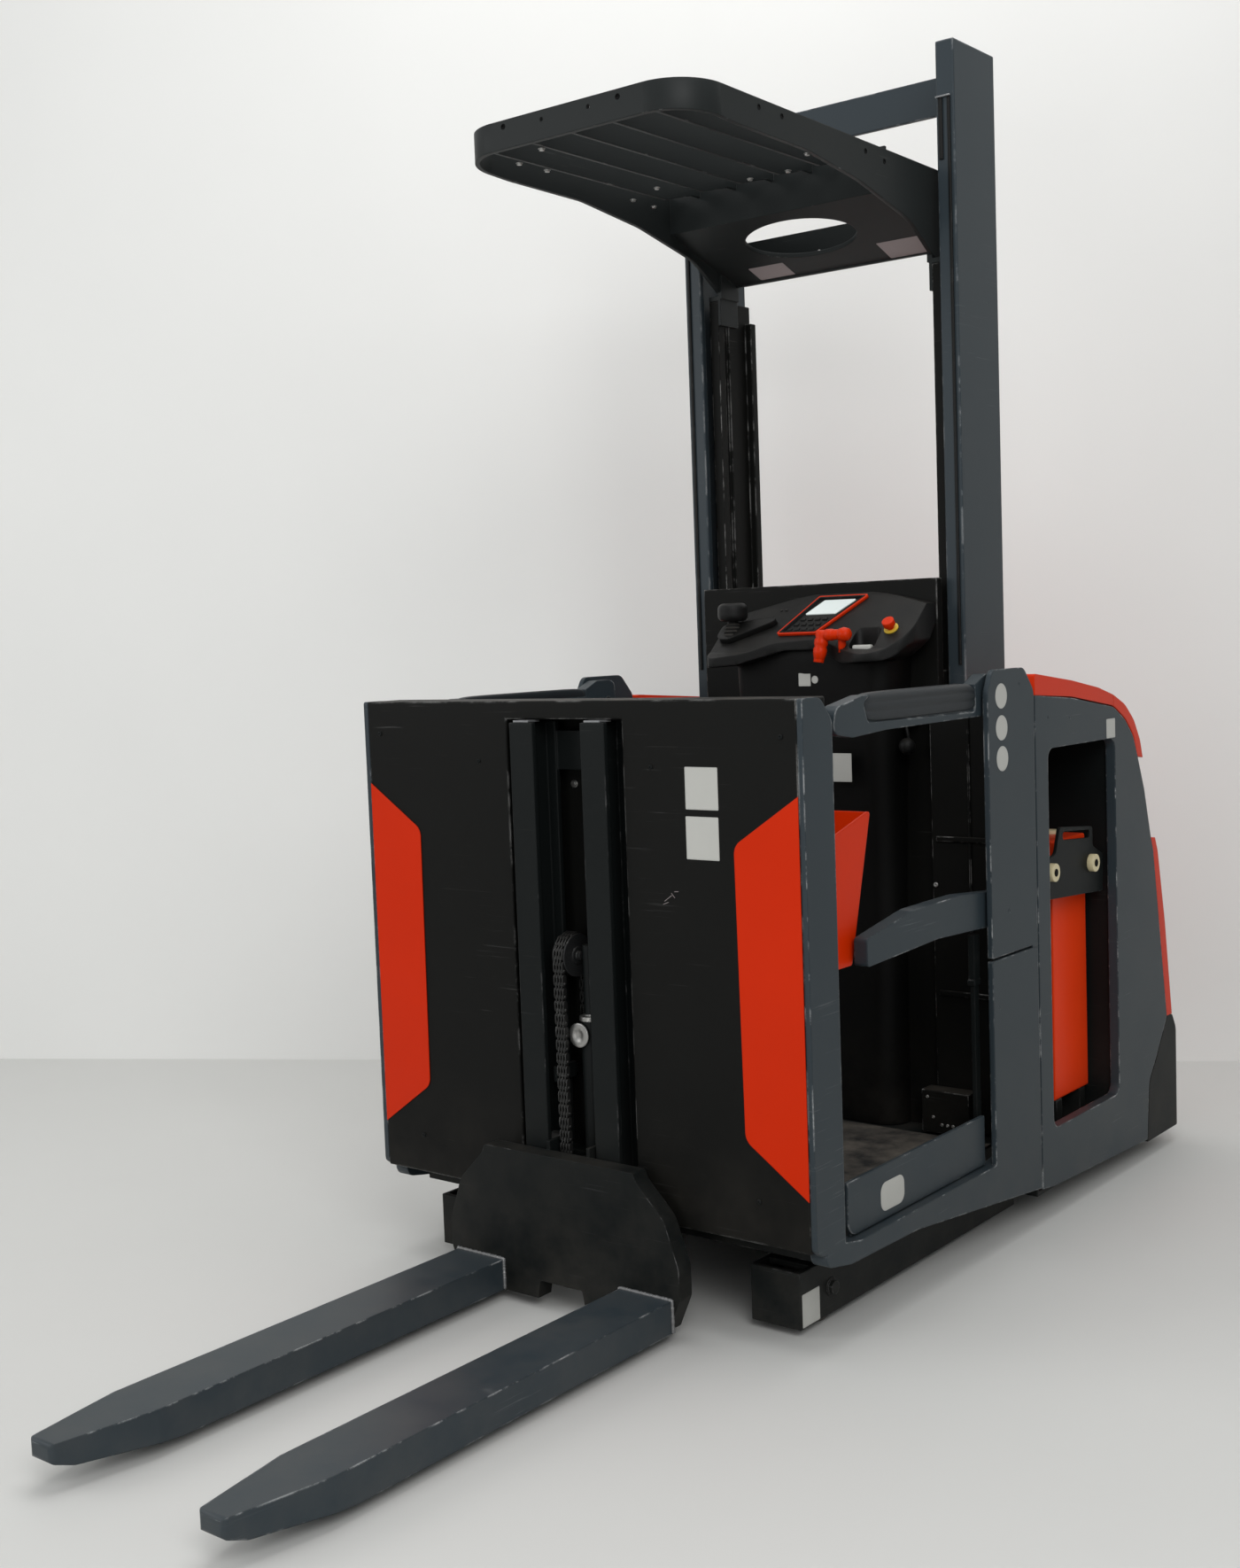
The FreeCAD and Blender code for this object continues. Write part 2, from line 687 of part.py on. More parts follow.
# Console: its sloping side view, its plan with the two hand rests, its arched rear edge and
# its underside, which waves from hand rest to hand rest and rises to the rear
console_side_rows = [
    (console_rear, console_low - 6, 0),
    (console_rear, 1444, 4),
    (938, console_foot_z + 7 + console_slope * (930 - console_foot_y), 4),
    (console_foot_y + 8, console_foot_z + 7, 16),
    (console_foot_y - 34, 1288, 12),
    (console_foot_y - 28, console_low - 6, 10),
]
console_plan_rows = [
    (-205, 762, 26),
    (-120, 784, 60),
    (-40, 817, 90),
    (75, 826, 90),
    (140, 806, 70),
    (238, 762, 60),
    (322, 836, 70),
    (322, console_rear, 0),
    (-168, console_rear, 0),
    (-168, 888, 24),
    (-205, 856, 24),
]
console_arch_rows = [
    (-206, console_low + 9, 0),
    (-206, 1389, 0),
    (80, 1462, 700),
    (324, 1404, 0),
    (324, console_low + 62, 30),
    (286, console_low + 18, 60),
    (160, console_low + 14, 60),
    (84, console_low + 46, 60),
    (-10, console_low + 46, 90),
    (-120, console_low + 16, 60),
]
console_under_rows = [
    (700, console_low - 7, 0),
    (866, console_low - 7, 60),
    (console_rear + 1, 1362, 0),
    (console_rear + 1, back_wall_top + 40, 0),
    (700, back_wall_top + 40, 0),
]
console = side_plate(console_side_rows, -206, 323)
console = console.common(flat_plate(console_plan_rows, console_low - 8, back_wall_top + 40))
console = console.common(front_plate(console_arch_rows, 700, console_rear + 1))
console = console.common(side_plate(console_under_rows, -210, 330))
recess_rows = [
    (176, 800, 14),
    (246, 796, 14),
    (240, 852, 14),
    (176, 852, 14),
]
console = console.cut(flat_plate(recess_rows, console_low + 32, back_wall_top + 40))
save("console_top", console)
above_column = front_plate(console_arch_rows[3:] + console_arch_rows[:1] + [(-206, 1500, 0), (324, 1500, 0)],
                           700, console_rear + 1)
above_column = above_column.common(side_plate(console_under_rows, -210, 330))
above_column.translate(V(0, 0, -seam_gap))
save("console_column", console_column.cut(above_column))


def on_console(shape, x, y, lift):
    """Turns a flat piece onto the slope of the console, with its origin at x and y."""
    piece = shape.copy()
    piece.rotate(V(0, 0, 0), V(1, 0, 0), console_angle)
    slope_z = console_foot_z + 7 + console_slope * (y - console_foot_y - 8)
    turn = math.radians(console_angle)
    piece.translate(V(x, y - lift * math.sin(turn), slope_z + lift * math.cos(turn)))
    return piece


bezel_outer_rows = [
    (-38, 0, 5),
    (71, 0, 5),
    (163, 130, 5),
    (26, 130, 5),
]
bezel_inner_rows = [
    (-26, 7, 3),
    (67, 7, 3),
    (150, 123, 3),
    (30, 123, 3),
]
screen_rows = [
    (12, 68, 2),
    (95, 68, 2),
    (132, 116, 2),
    (46, 116, 2),
]
display_bezel = flat_plate(bezel_outer_rows, 0, 7).cut(flat_plate(bezel_inner_rows, 2, 9))
display_screen = flat_plate(screen_rows, 2 + seat_gap, 5)
keys = []
for row in range(3):
    for column in range(4):
        key_x = -14 + 20 * column + 11 * row
        key_v = 13 + 17 * row
        keys.append(box(key_x, key_x + 13, key_v, key_v + 9, 2 + seat_gap, 5))
display_y = 837
save("display_bezel", on_console(display_bezel, 0, display_y, seat_gap))
save("display_screen", on_console(display_screen, 0, display_y, seat_gap))
save("display_keys", *[on_console(key, 0, display_y, seat_gap) for key in keys])

# Steering knob on its arm, at the left hand
arm_rows = [
    (-38, -26, 18),
    (0, -28, 22),
    (96, 26, 7),
    (112, 46, 7),
    (60, 42, 40),
    (-38, 24, 18),
]
steering_arm = on_console(flat_plate(arm_rows, 0, 15), -160, 842, seat_gap)
knob_z = console_foot_z + 80
knob_stem = rod_z(knob_z - 20, knob_z + 4, -165, 842, 13)
knob_head = rod_z(knob_z, knob_z + 44, -165, 842, 36)
knob_head = knob_head.makeFillet(15, [edge for edge in knob_head.Edges if edge.Length > 200])
save("steering_knob", joined(steering_arm, knob_stem, knob_head))

# Hand control at the right hand, a bar with a leg
grip_bar = rod_x(106, 180, 796, 1341, 12)
grip_leg = Part.makeCylinder(12, 66, V(114, 796, 1344), V(-0.12, -0.1, -0.988))
grip_post = rod_z(1300, 1341, 160, 806, 9)
hand_control = joined(grip_bar, grip_leg, grip_post).cut(console)
save("hand_control", hand_control)

# Emergency stop on its yellow ring
stop_ring = on_console(rod_z(0, 3, 0, 0, 17), 266, 846, seat_gap)
stop_button = on_console(joined(rod_z(3 + seat_gap, 14, 0, 0, 8), rod_z(12, 25, 0, 0, 14)), 266, 846, seat_gap)
save("stop_ring", stop_ring)
save("stop_button", stop_button)

# Open bins on the inner side of the wall
bin_front = wall_depth + seam_gap
bin_rows = [
    (bin_front, 702, 0),
    (248, 702, 8),
    (330, 998, 6),
    (bin_front, 934, 0),
]
bin_inner_rows = [
    (bin_front + 5, 708, 0),
    (244, 708, 6),
    (328, 1010, 0),
    (bin_front + 5, 1010, 0),
]
bin_outer = sill_inner - 25
bin_inner = bin_outer - 155
side_bin = side_plate(bin_rows, bin_inner, bin_outer)
side_bin = side_bin.cut(side_plate(bin_inner_rows, bin_inner + 5, bin_outer - 5))
save("side_bins", side_bin, mirrored(side_bin))

# Overhead guard: a rim with rounded front corners, deep side plates, slats and a rear plate
# with an oval hole
rim_outer = flat_plate([(-guard_half, guard_rear, 0), (-guard_half, guard_front, guard_corner),
                        (guard_half, guard_front, guard_corner), (guard_half, guard_rear, 0)],
                       inner_post_top - 25, guard_top)
rim_inner_x = guard_half - guard_sheet
rim_inner = flat_plate([(-rim_inner_x, guard_rear + 10, 0),
                        (-rim_inner_x, guard_front + guard_sheet, guard_corner - guard_sheet),
                        (rim_inner_x, guard_front + guard_sheet, guard_corner - guard_sheet),
                        (rim_inner_x, guard_rear + 10, 0)],
                       inner_post_top - 75, guard_top + 10)
guard_side_rows = [
    (guard_front - 10, guard_top - guard_rim, 0),
    (guard_rear - 836, guard_top - guard_rim - 11, 300),
    (guard_rear - 596, guard_top - guard_rim - 15, 300),
    (guard_rear - 386, inner_post_top + 131, 300),
    (guard_rear - 174, inner_post_top + 82, 200),
    (guard_rear - 46, inner_post_top + 2, 0),
    (guard_rear, inner_post_top + 2, 0),
    (guard_rear, guard_top - 26, 0),
    (guard_rear - 46, guard_top - 18, 0),
    (guard_front - 10, guard_top, 0),
]
guard_envelope = side_plate(guard_side_rows, -guard_half - 50, guard_half + 50)
rim = rim_outer.cut(rim_inner).common(guard_envelope)
for hole_x in (-accessory_pitch / 2, accessory_pitch / 2):
    rim = rim.cut(rod_y(guard_front - 5, guard_front + guard_sheet + 5, hole_x, accessory_z, accessory_hole_radius))
slat_rows = [
    (guard_front + 4, slat_low, 0),
    (guard_plate_front - 130, slat_low, 30),
    (guard_plate_front - 30, slat_low + 26, 0),
    (guard_plate_front + 2, slat_low + 26, 0),
    (guard_plate_front + 2, slat_high, 0),
    (guard_front + 4, slat_high, 0),
]
slats = []
for number in range(-2, 3):
    middle = number * slat_pitch
    slats.append(side_plate(slat_rows, middle - slat_half_thick, middle + slat_half_thick))
guard_inner = guard_half - guard_sheet + 2
plate_high = guard_plate_low + guard_plate_rise
rear_plate = side_plate([(guard_plate_front, plate_high, 0), (guard_rear, guard_plate_low, 0),
                         (guard_rear, guard_plate_low + guard_plate_thick, 0),
                         (guard_plate_front, plate_high + guard_plate_thick, 0)], -guard_inner, guard_inner)
hole_y = (guard_plate_front + guard_rear) / 2 - 22
oval_line = Part.Wire([Part.Ellipse(V(0, hole_y, guard_plate_low - 100), guard_hole_length / 2,
                                    guard_hole_width / 2).toShape()])
oval_hole = pushed(oval_line, V(0, 0, 300))
rear_plate = rear_plate.cut(oval_hole)
plate_flange = box(-guard_inner, guard_inner, guard_plate_front, guard_plate_front + 8, plate_high, slat_high)
back_plate = box(-guard_inner, guard_inner, guard_rear - 10, guard_rear, guard_plate_low, guard_plate_low + 104)
guard_foot = box(inner_post_inner - 8, inner_post_inner, inner_post_front, guard_rear,
                 inner_post_top - 60, guard_plate_low + 4)
foot_cap = box(inner_post_inner - 8, inner_post_outer, inner_post_front, guard_rear,
               inner_post_top + seam_gap, inner_post_top + 12)
foot_web = box(guard_inner - 8, guard_inner + 3, inner_post_front, guard_rear, inner_post_top + 4,
               inner_post_top + 125)
guard_foot = joined(guard_foot.cut(inner_post), foot_cap, foot_web)
save("overhead_guard", joined(rim, *slats, rear_plate, plate_flange, back_plate, guard_foot,
                              mirrored(guard_foot)))


def gate_bar(rows, pivot_z):
    """One gate bar with the bore for its pin."""
    bar = side_plate(rows, gate_inner, gate_outer)
    return bar.cut(rod_x(gate_inner - 1, gate_outer + 1, gate_pivot_y, pivot_z, gate_pin_radius + gate_pin_play))


gate_tail = gate_pivot_y + 28
upper_gate_rows = [
    (134, upper_gate_z - 34, 20),
    (205, upper_gate_z - 44, 12),
    (330, upper_gate_z - 37, 100),
    (gate_tail, upper_gate_z - 33, 21),
    (gate_tail, upper_gate_z + 54, 21),
    (gate_pivot_y - 42, upper_gate_z + 54, 20),
    (gate_pivot_y - 88, upper_gate_z + 34, 10),
    (250, upper_gate_z + 34, 60),
    (146, upper_gate_z + 16, 26),
]
lower_gate_rows = [
    (238, lower_gate_z - 42, 6),
    (520, lower_gate_z - 30, 300),
    (gate_tail, lower_gate_z - 42, 21),
    (gate_tail, lower_gate_z + 30, 21),
    (620, lower_gate_z + 46, 200),
    (420, lower_gate_z + 44, 200),
    (238, lower_gate_z + 13, 8),
]
# The armrest pad caps the upper bar and covers its outer side
pad_rows = [
    (pad_front, pad_low, 12),
    (pad_rear, pad_low - 4, 12),
    (pad_rear, pad_high, 9),
    (pad_front + 20, pad_high, 30),
    (pad_front - 16, pad_high - 20, 10),
]
pocket_rows = [(y + (seat_gap if y > 500 else -seat_gap), z + (seat_gap if z > upper_gate_z else -seat_gap), radius)
               for y, z, radius in pad_rows]
pad_core_top = upper_gate_z + 17
pad_plate = side_plate(pad_rows, gate_inner - 2, gate_outer + 2)
pad_core = box(gate_inner - 10, gate_outer - pad_sheet + seat_gap, 100, gate_tail, 1000, pad_core_top + seat_gap)
arm_pad = pad_plate.cut(pad_core)
pad_pocket = side_plate(pocket_rows, gate_inner - 5, gate_outer + 5)
pad_pocket = pad_pocket.cut(box(gate_inner - 10, gate_outer - pad_sheet, 100, gate_tail, 1000, pad_core_top))
upper_gate = gate_bar(upper_gate_rows, upper_gate_z).cut(pad_pocket)
lower_gate = gate_bar(lower_gate_rows, lower_gate_z)
save("upper_gate_right", upper_gate)
save("upper_gate_left", mirrored(upper_gate))
save("lower_gate_right", lower_gate)
save("lower_gate_left", mirrored(lower_gate))
save("arm_pad_right", arm_pad)
save("arm_pad_left", mirrored(arm_pad))
rest_foot = floor_sheet + seat_gap
rest_rail = joined(box(gate_inner + 4, gate_outer - 16, 702, 722, rest_foot, 600),
                   box(gate_inner + 2, gate_outer - 14, 699, 725, 590, lower_gate_z - 52),
                   box(gate_inner, gate_outer - 13, 697, 727, 584, 596),
                   box(gate_inner - 16, gate_outer - 18, 690, 728, rest_foot, floor_top + 4))
save("gate_rest_rails", rest_rail, mirrored(rest_rail))

# Fork mast on the cab's wall
fork_mast_back = wall_depth - wall_sheet - seam_gap
rail = box(fork_rail_inner, fork_rail_outer, fork_rail_front, fork_rail_rear, fork_rail_low, fork_rail_top)
channel_front = fork_rail_front + fork_rail_flange
channel_rear = fork_rail_rear - fork_rail_flange
rail = rail.cut(box(fork_rail_inner - 1, fork_rail_inner + 24, channel_front, channel_rear, 0, mast_top))
rail = rail.cut(box(fork_rail_outer - 25, fork_rail_outer + 1, channel_front, channel_rear, 0, mast_top))
rail_tie_low = box(-110, 110, fork_rail_rear - 8, fork_mast_back, fork_rail_low + 6, fork_rail_low + 86)
rail_tie_high = box(-110, 110, fork_rail_rear - 8, fork_mast_back, fork_rail_top - 100, fork_rail_top - 20)
save("fork_mast", joined(rail, mirrored(rail), rail_tie_low, rail_tie_high))
ram_top = chain_wheel_z + 24
fork_cylinder = joined(rod_z(300, ram_top - 150, 18, chain_wheel_y, 20),
                       rod_z(ram_top - 151, ram_top, 18, chain_wheel_y, 12),
                       box(-8, 38, 20, fork_rail_rear - 8 - seat_gap, 262, 302))
save("fork_lift_cylinder", fork_cylinder)
chain_front = chain_wheel_y - chain_wheel_radius
chain = joined(box(-41, -10, chain_front - 2, chain_front + 10, 230, chain_wheel_z),
               rod_x(-42.5, -7, chain_wheel_y, chain_wheel_z, chain_wheel_radius),
               rod_x(-10, 6 - seat_gap, chain_wheel_y, chain_wheel_z, 8))
save("fork_chain", chain)

# Fork carriage, with arms and rollers that run in the fork mast
carriage_rows = [
    (-268, fork_bottom, 6),
    (-62, fork_bottom, 0),
    (-55, 60, 6),
    (55, 60, 6),
    (62, fork_bottom, 0),
    (268, fork_bottom, 6),
    (298, 90, 20),
    (298, 150, 60),
    (266, 240, 60),
    (202, 304, 30),
    (194, 322, 6),
    (-194, 322, 6),
    (-202, 304, 30),
    (-266, 240, 60),
    (-298, 150, 60),
    (-298, 90, 20),
]
carriage = front_plate(carriage_rows, carriage_front, carriage_rear)
arm_outer = fork_rail_inner - 5
carriage_arm = box(arm_outer - 9, arm_outer, carriage_rear - 2, 34, 226, 340)
carriage = joined(carriage, carriage_arm, mirrored(carriage_arm))
save("fork_carriage", carriage)
carriage_rollers = []
for roller_z in (252, 314):
    roller = rod_x(arm_outer + seat_gap, arm_outer + 28, (channel_front + channel_rear) / 2, roller_z,
                   (channel_rear - channel_front) / 2 - seat_gap)
    carriage_rollers.extend([roller, mirrored(roller)])
save("carriage_rollers", *carriage_rollers)


def fork():
    """One tapered box fork of the right side."""
    rows = [
        (carriage_front - seam_gap, fork_bottom, 0),
        (carriage_front - seam_gap, fork_top, 0),
        (fork_tip_y, fork_top, 8),
        (fork_tip_y, 54, 8),
        (fork_tip_y + 40, 40, 20),
        (fork_tip_y + 240, fork_bottom, 60),
    ]
    blade = side_plate(rows, fork_outer - fork_width, fork_outer)
    middle = fork_outer - fork_width / 2
    plan = flat_plate([(fork_outer - fork_width, carriage_front, 0), (fork_outer - fork_width, fork_tip_y + 190, 20),
                       (middle - 29, fork_tip_y, 10), (middle + 29, fork_tip_y, 10),
                       (fork_outer, fork_tip_y + 190, 20), (fork_outer, carriage_front, 0)], 0, 200)
    return blade.common(plan)


save("forks", fork(), mirrored(fork()))
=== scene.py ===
# %% [markdown]
# The order picker truck comes packed from the CAD side as a fixed frame: every hard piece is
# already in place, in metres, with the floor at z = 0 and the forks towards -Y. This file gives
# those pieces their finishes and adds what is too fine for the solids: screws, weld beads, chain
# links, ribs, blank stickers and the soft armrests. We load the frame first; every later step hangs
# its pieces on bodies of the truck, which are empties made the first time a piece needs one.

# %% Load the frame
import json
import math

import bmesh
import bpy
from mathutils import Matrix, Vector


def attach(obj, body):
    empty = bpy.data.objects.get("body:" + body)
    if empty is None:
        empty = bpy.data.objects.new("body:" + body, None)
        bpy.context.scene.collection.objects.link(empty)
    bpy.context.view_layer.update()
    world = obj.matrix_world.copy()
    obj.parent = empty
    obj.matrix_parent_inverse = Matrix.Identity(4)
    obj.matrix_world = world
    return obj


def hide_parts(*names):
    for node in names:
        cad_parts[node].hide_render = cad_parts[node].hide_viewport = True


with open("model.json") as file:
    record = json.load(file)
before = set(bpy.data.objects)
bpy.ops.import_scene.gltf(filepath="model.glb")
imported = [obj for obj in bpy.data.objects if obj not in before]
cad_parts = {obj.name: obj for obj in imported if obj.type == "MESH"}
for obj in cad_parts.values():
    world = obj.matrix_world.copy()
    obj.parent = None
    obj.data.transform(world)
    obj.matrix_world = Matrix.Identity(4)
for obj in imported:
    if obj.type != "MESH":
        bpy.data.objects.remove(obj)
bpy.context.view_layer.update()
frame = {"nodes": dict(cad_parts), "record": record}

nodes = frame["nodes"]

# %% [markdown]
# All drawing sizes are in millimetres, and Y is counted from the front face of the cab's wall,
# as on the drawing. Blender wants metres from the middle of the truck. One small helper turns the
# first into the second, so that the rest of the file can be read against the drawing.

# %% From drawing millimetres to the truck's own metres
MIDDLE_Y = 313.0


def at(x, y, z):
    """A drawing point as a Blender vector."""
    return Vector((x / 1000, (y - MIDDLE_Y) / 1000, z / 1000))


print("wall face is at y =", round(at(0, 0, 0).y, 3))

# %% [markdown]
# The camera stands to the right of the forks, at chest height, and looks slightly down. We could
# aim it with a Track To constraint, but the view in the photograph also has a small roll, so the
# camera's matrix is built from its three angles instead.

# %% Camera
CAMERA_PLACE = (2.3287, -3.0518, 1.3606)
CAMERA_ANGLES = (38.606, 4.744, -2.119)


def add_object(name, data):
    """A new object in the scene."""
    thing = bpy.data.objects.new(name, data)
    bpy.context.scene.collection.objects.link(thing)
    return thing


view_camera = bpy.data.cameras.new("view_camera")
view_camera.sensor_width = 36
view_camera.lens = 41.49
view_camera.clip_end = 100
camera_object = add_object("view_camera", view_camera)
yaw, pitch, roll = (math.radians(angle) for angle in CAMERA_ANGLES)
forward = Vector((-math.sin(yaw) * math.cos(pitch), math.cos(yaw) * math.cos(pitch), -math.sin(pitch)))
level_right = Vector((math.cos(yaw), math.sin(yaw), 0))
level_up = level_right.cross(forward)
right = math.cos(roll) * level_right + math.sin(roll) * level_up
up = math.cos(roll) * level_up - math.sin(roll) * level_right
rows = [(right[n], up[n], -forward[n], CAMERA_PLACE[n]) for n in range(3)]
camera_object.matrix_world = Matrix((*rows, (0, 0, 0, 1)))
bpy.context.scene.camera = camera_object
print("camera height", round(camera_object.matrix_world.translation.z, 3))

# %% [markdown]
# A material is a graph of nodes. Writing each link by hand soon hides the idea behind it, so a few
# helpers add a node with its settings and give its sockets a value or a link. They are used for
# materials, for shader groups and for Geometry Nodes alike.

# %% Small helpers for node graphs


def add_node(tree, kind, place, **settings):
    """One node at a place in the editor, with its properties set."""
    node = tree.nodes.new(kind)
    node.location = place
    for key, value in settings.items():
        setattr(node, key, value)
    return node


def feed_at(node, inputs):
    """Sets or links inputs of a node by their number or name."""
    for key, value in inputs.items():
        if isinstance(value, bpy.types.NodeSocket):
            node.id_data.links.new(value, node.inputs[key])
        else:
            node.inputs[key].default_value = value


def feed(node, **inputs):
    """Sets or links inputs of a node by name; spaces are written as underscores."""
    feed_at(node, {key.replace("_", " "): value for key, value in inputs.items()})


def new_group(name, kind, inputs, outputs):
    """An empty node group with named sockets, and its two end nodes."""
    group = bpy.data.node_groups.new(name, kind)
    add_socket = group.interface.new_socket
    for label, what, value in inputs:
        socket = add_socket(label, in_out="INPUT", socket_type="NodeSocket" + what)
        if value is not None:
            socket.default_value = value
    for label, what in outputs:
        add_socket(label, in_out="OUTPUT", socket_type="NodeSocket" + what)
    return group, add_node(group, "NodeGroupInput", (-900, 0)), add_node(group, "NodeGroupOutput", (900, 0))


# %% Helpers for the nodes that masks are made of


def object_place(tree, place):
    """Where a surface point lies on its own object."""
    return add_node(tree, "ShaderNodeTexCoord", place).outputs["Object"]


def noise(tree, place, where, **numbers):
    """The result of a Noise Texture."""
    node = add_node(tree, "ShaderNodeTexNoise", place)
    feed(node, Vector=where, **numbers)
    return node.outputs["Fac"]


def ranged(tree, place, value, **ends):
    """The result of a Map Range node."""
    node = add_node(tree, "ShaderNodeMapRange", place)
    feed(node, Value=value, **ends)
    return node.outputs["Result"]


def maths(tree, place, operation, first, second, clamp=False):
    """The result of a Math node on two sockets or numbers."""
    node = add_node(tree, "ShaderNodeMath", place, operation=operation, use_clamp=clamp)
    feed_at(node, {0: first, 1: second})
    return node.outputs[0]


# %% [markdown]
# Enamel on a truck that works in a warehouse wears first where things knock against it: on the
# outer edges. A mask for that can come from painted vertex colours, from Pointiness, or from the
# Bevel node. The CAD meshes have few vertices, which rules out the first two. The Bevel node
# rounds the normal near an edge, so wherever it differs from the true normal, an edge is near.
# A noise breaks the line up, because real wear is never even.

# %% Shader group: worn edges
worn_edges, start, end = new_group(
    "worn_edges", "ShaderNodeTree",
    [("Radius", "Float", 0.003), ("Breakup Scale", "Float", 14.0), ("Coverage", "Float", 0.5)],
    [("Mask", "Float"), ("Normal", "Vector")])
rounding = add_node(worn_edges, "ShaderNodeBevel", (-650, 150), samples=4)
feed(rounding, Radius=start.outputs["Radius"])
true_normal = add_node(worn_edges, "ShaderNodeNewGeometry", (-650, -100))
agreement = add_node(worn_edges, "ShaderNodeVectorMath", (-420, 60), operation="DOT_PRODUCT")
feed_at(agreement, {0: rounding.outputs["Normal"], 1: true_normal.outputs["Normal"]})
near_edge = ranged(worn_edges, (-220, 60), agreement.outputs["Value"], From_Min=0.99, From_Max=0.86)
breakup = noise(worn_edges, (-420, -300), object_place(worn_edges, (-650, -350)),
                Scale=start.outputs["Breakup Scale"], Detail=6.0, Roughness=0.7)
threshold = maths(worn_edges, (-220, -200), "SUBTRACT", 1.0, start.outputs["Coverage"])
patches = maths(worn_edges, (0, -250), "SUBTRACT", breakup, threshold)
sharpened = maths(worn_edges, (180, -250), "MULTIPLY", patches, 9.0, clamp=True)
mask = maths(worn_edges, (400, 0), "MULTIPLY", near_edge, sharpened, clamp=True)
feed(end, Mask=mask, Normal=rounding.outputs["Normal"])
print("group", worn_edges.name, "nodes", len(worn_edges.nodes))

# %% [markdown]
# Scratches are long and thin, and they come in patches. A noise squeezed forty times along one
# direction gives long streaks across it, and only its highest crests are kept. A second, slow
# noise decides where the patches are. Two directions are mixed, since boxes and pallets rub both
# ways.

# %% Shader group: scratches
scratches, start, end = new_group(
    "scratches", "ShaderNodeTree", [("Scale", "Float", 5.0), ("Amount", "Float", 0.5)], [("Mask", "Float")])
place = object_place(scratches, (-850, 0))
streak_masks = []
for turn, offset, row in ((0.35, 0.0, 200), (1.15, 3.7, -100)):
    direction = add_node(scratches, "ShaderNodeMapping", (-650, row))
    feed(direction, Vector=place, Location=(offset, offset, offset),
         Rotation=(turn, turn * 0.7, turn * 0.4), Scale=(1.0, 1.0, 40.0))
    streaks = noise(scratches, (-450, row), direction.outputs["Vector"], Scale=start.outputs["Scale"],
                    Detail=3.0, Roughness=0.6)
    streak_masks.append(ranged(scratches, (-250, row), streaks, From_Min=0.66, From_Max=0.74))
both = maths(scratches, (-50, 50), "MAXIMUM", *streak_masks)
areas = noise(scratches, (-450, -400), place, Scale=3.1, Detail=2.0)
where = ranged(scratches, (-250, -400), areas, From_Min=0.5, From_Max=0.66)
patchy = maths(scratches, (150, 0), "MULTIPLY", both, where)
feed(end, Mask=maths(scratches, (350, 0), "MULTIPLY", patchy, start.outputs["Amount"], clamp=True))
print("group", scratches.name, "nodes", len(scratches.nodes))

# %% [markdown]
# Dust settles on what faces up, and dirt is thrown up from the floor on the lowest parts. Both
# follow from two numbers that every surface point has: its normal's Z and its height. We multiply
# each by a noise and take the stronger one.

# %% Shader group: settled dust
settled_dust, start, end = new_group(
    "settled_dust", "ShaderNodeTree",
    [("On Top", "Float", 0.4), ("Near Floor", "Float", 0.4)], [("Mask", "Float")])
surface = add_node(settled_dust, "ShaderNodeNewGeometry", (-850, 250))
place = object_place(settled_dust, (-850, -150))
blotches = noise(settled_dust, (-650, -250), place, Scale=9.0, Detail=7.0, Roughness=0.62)
cloud = ranged(settled_dust, (-450, -250), blotches, From_Min=0.35, From_Max=0.75)
layers = []
for vector, none_at, full_at, strength, row in (
        (surface.outputs["Normal"], 0.5, 1.0, "On Top", 250), (place, 0.45, 0.02, "Near Floor", 0)):
    upward = add_node(settled_dust, "ShaderNodeSeparateXYZ", (-650, row))
    feed(upward, Vector=vector)
    level = ranged(settled_dust, (-450, row), upward.outputs["Z"], From_Min=none_at, From_Max=full_at)
    noisy = maths(settled_dust, (-200, row), "MULTIPLY", level, cloud)
    layers.append(maths(settled_dust, (0, row), "MULTIPLY", noisy, start.outputs[strength], clamp=True))
feed(end, Mask=maths(settled_dust, (250, 50), "MAXIMUM", *layers, clamp=True))
print("group", settled_dust.name, "nodes", len(settled_dust.nodes))

# %% [markdown]
# Moulded plastic has a leather-like grain, sprayed enamel has orange peel, and a casting is
# pebbly. All three are a height that changes over the surface, only at other scales, so one group
# with a scale and a mix between round cells and soft noise serves them all.

# %% Shader group: surface grain
surface_grain, start, end = new_group(
    "surface_grain", "ShaderNodeTree",
    [("Scale", "Float", 300.0), ("Cells", "Float", 0.5)], [("Height", "Float")])
place = object_place(surface_grain, (-850, 0))
soft = noise(surface_grain, (-600, 150), place, Scale=start.outputs["Scale"], Detail=3.0)
cells = add_node(surface_grain, "ShaderNodeTexVoronoi", (-600, -150))
feed(cells, Vector=place, Scale=start.outputs["Scale"])
blend = add_node(surface_grain, "ShaderNodeMix", (-300, 0), data_type="FLOAT")
feed_at(blend, {0: start.outputs["Cells"], 2: soft, 3: cells.outputs["Distance"]})
feed(end, Height=blend.outputs[0])
print("group", surface_grain.name, "nodes", len(surface_grain.nodes))

# %% [markdown]
# One recipe builds every finish of the truck: a base colour that varies a little, bare metal or
# primer where edges are worn and scratched, dust over it, and a grain in the normal. The groups
# above do the work, and each material only gives them its own numbers. Values that are the same
# all over, such as the coat, go straight on the shader's own sockets.

# %% The recipe for a finish
DUST = (0.23, 0.2, 0.165, 1)


def place_group(tree, group, spot, **inputs):
    """A shader group as a node in a material."""
    node = add_node(tree, "ShaderNodeGroup", spot, node_tree=group)
    feed(node, **inputs)
    return node


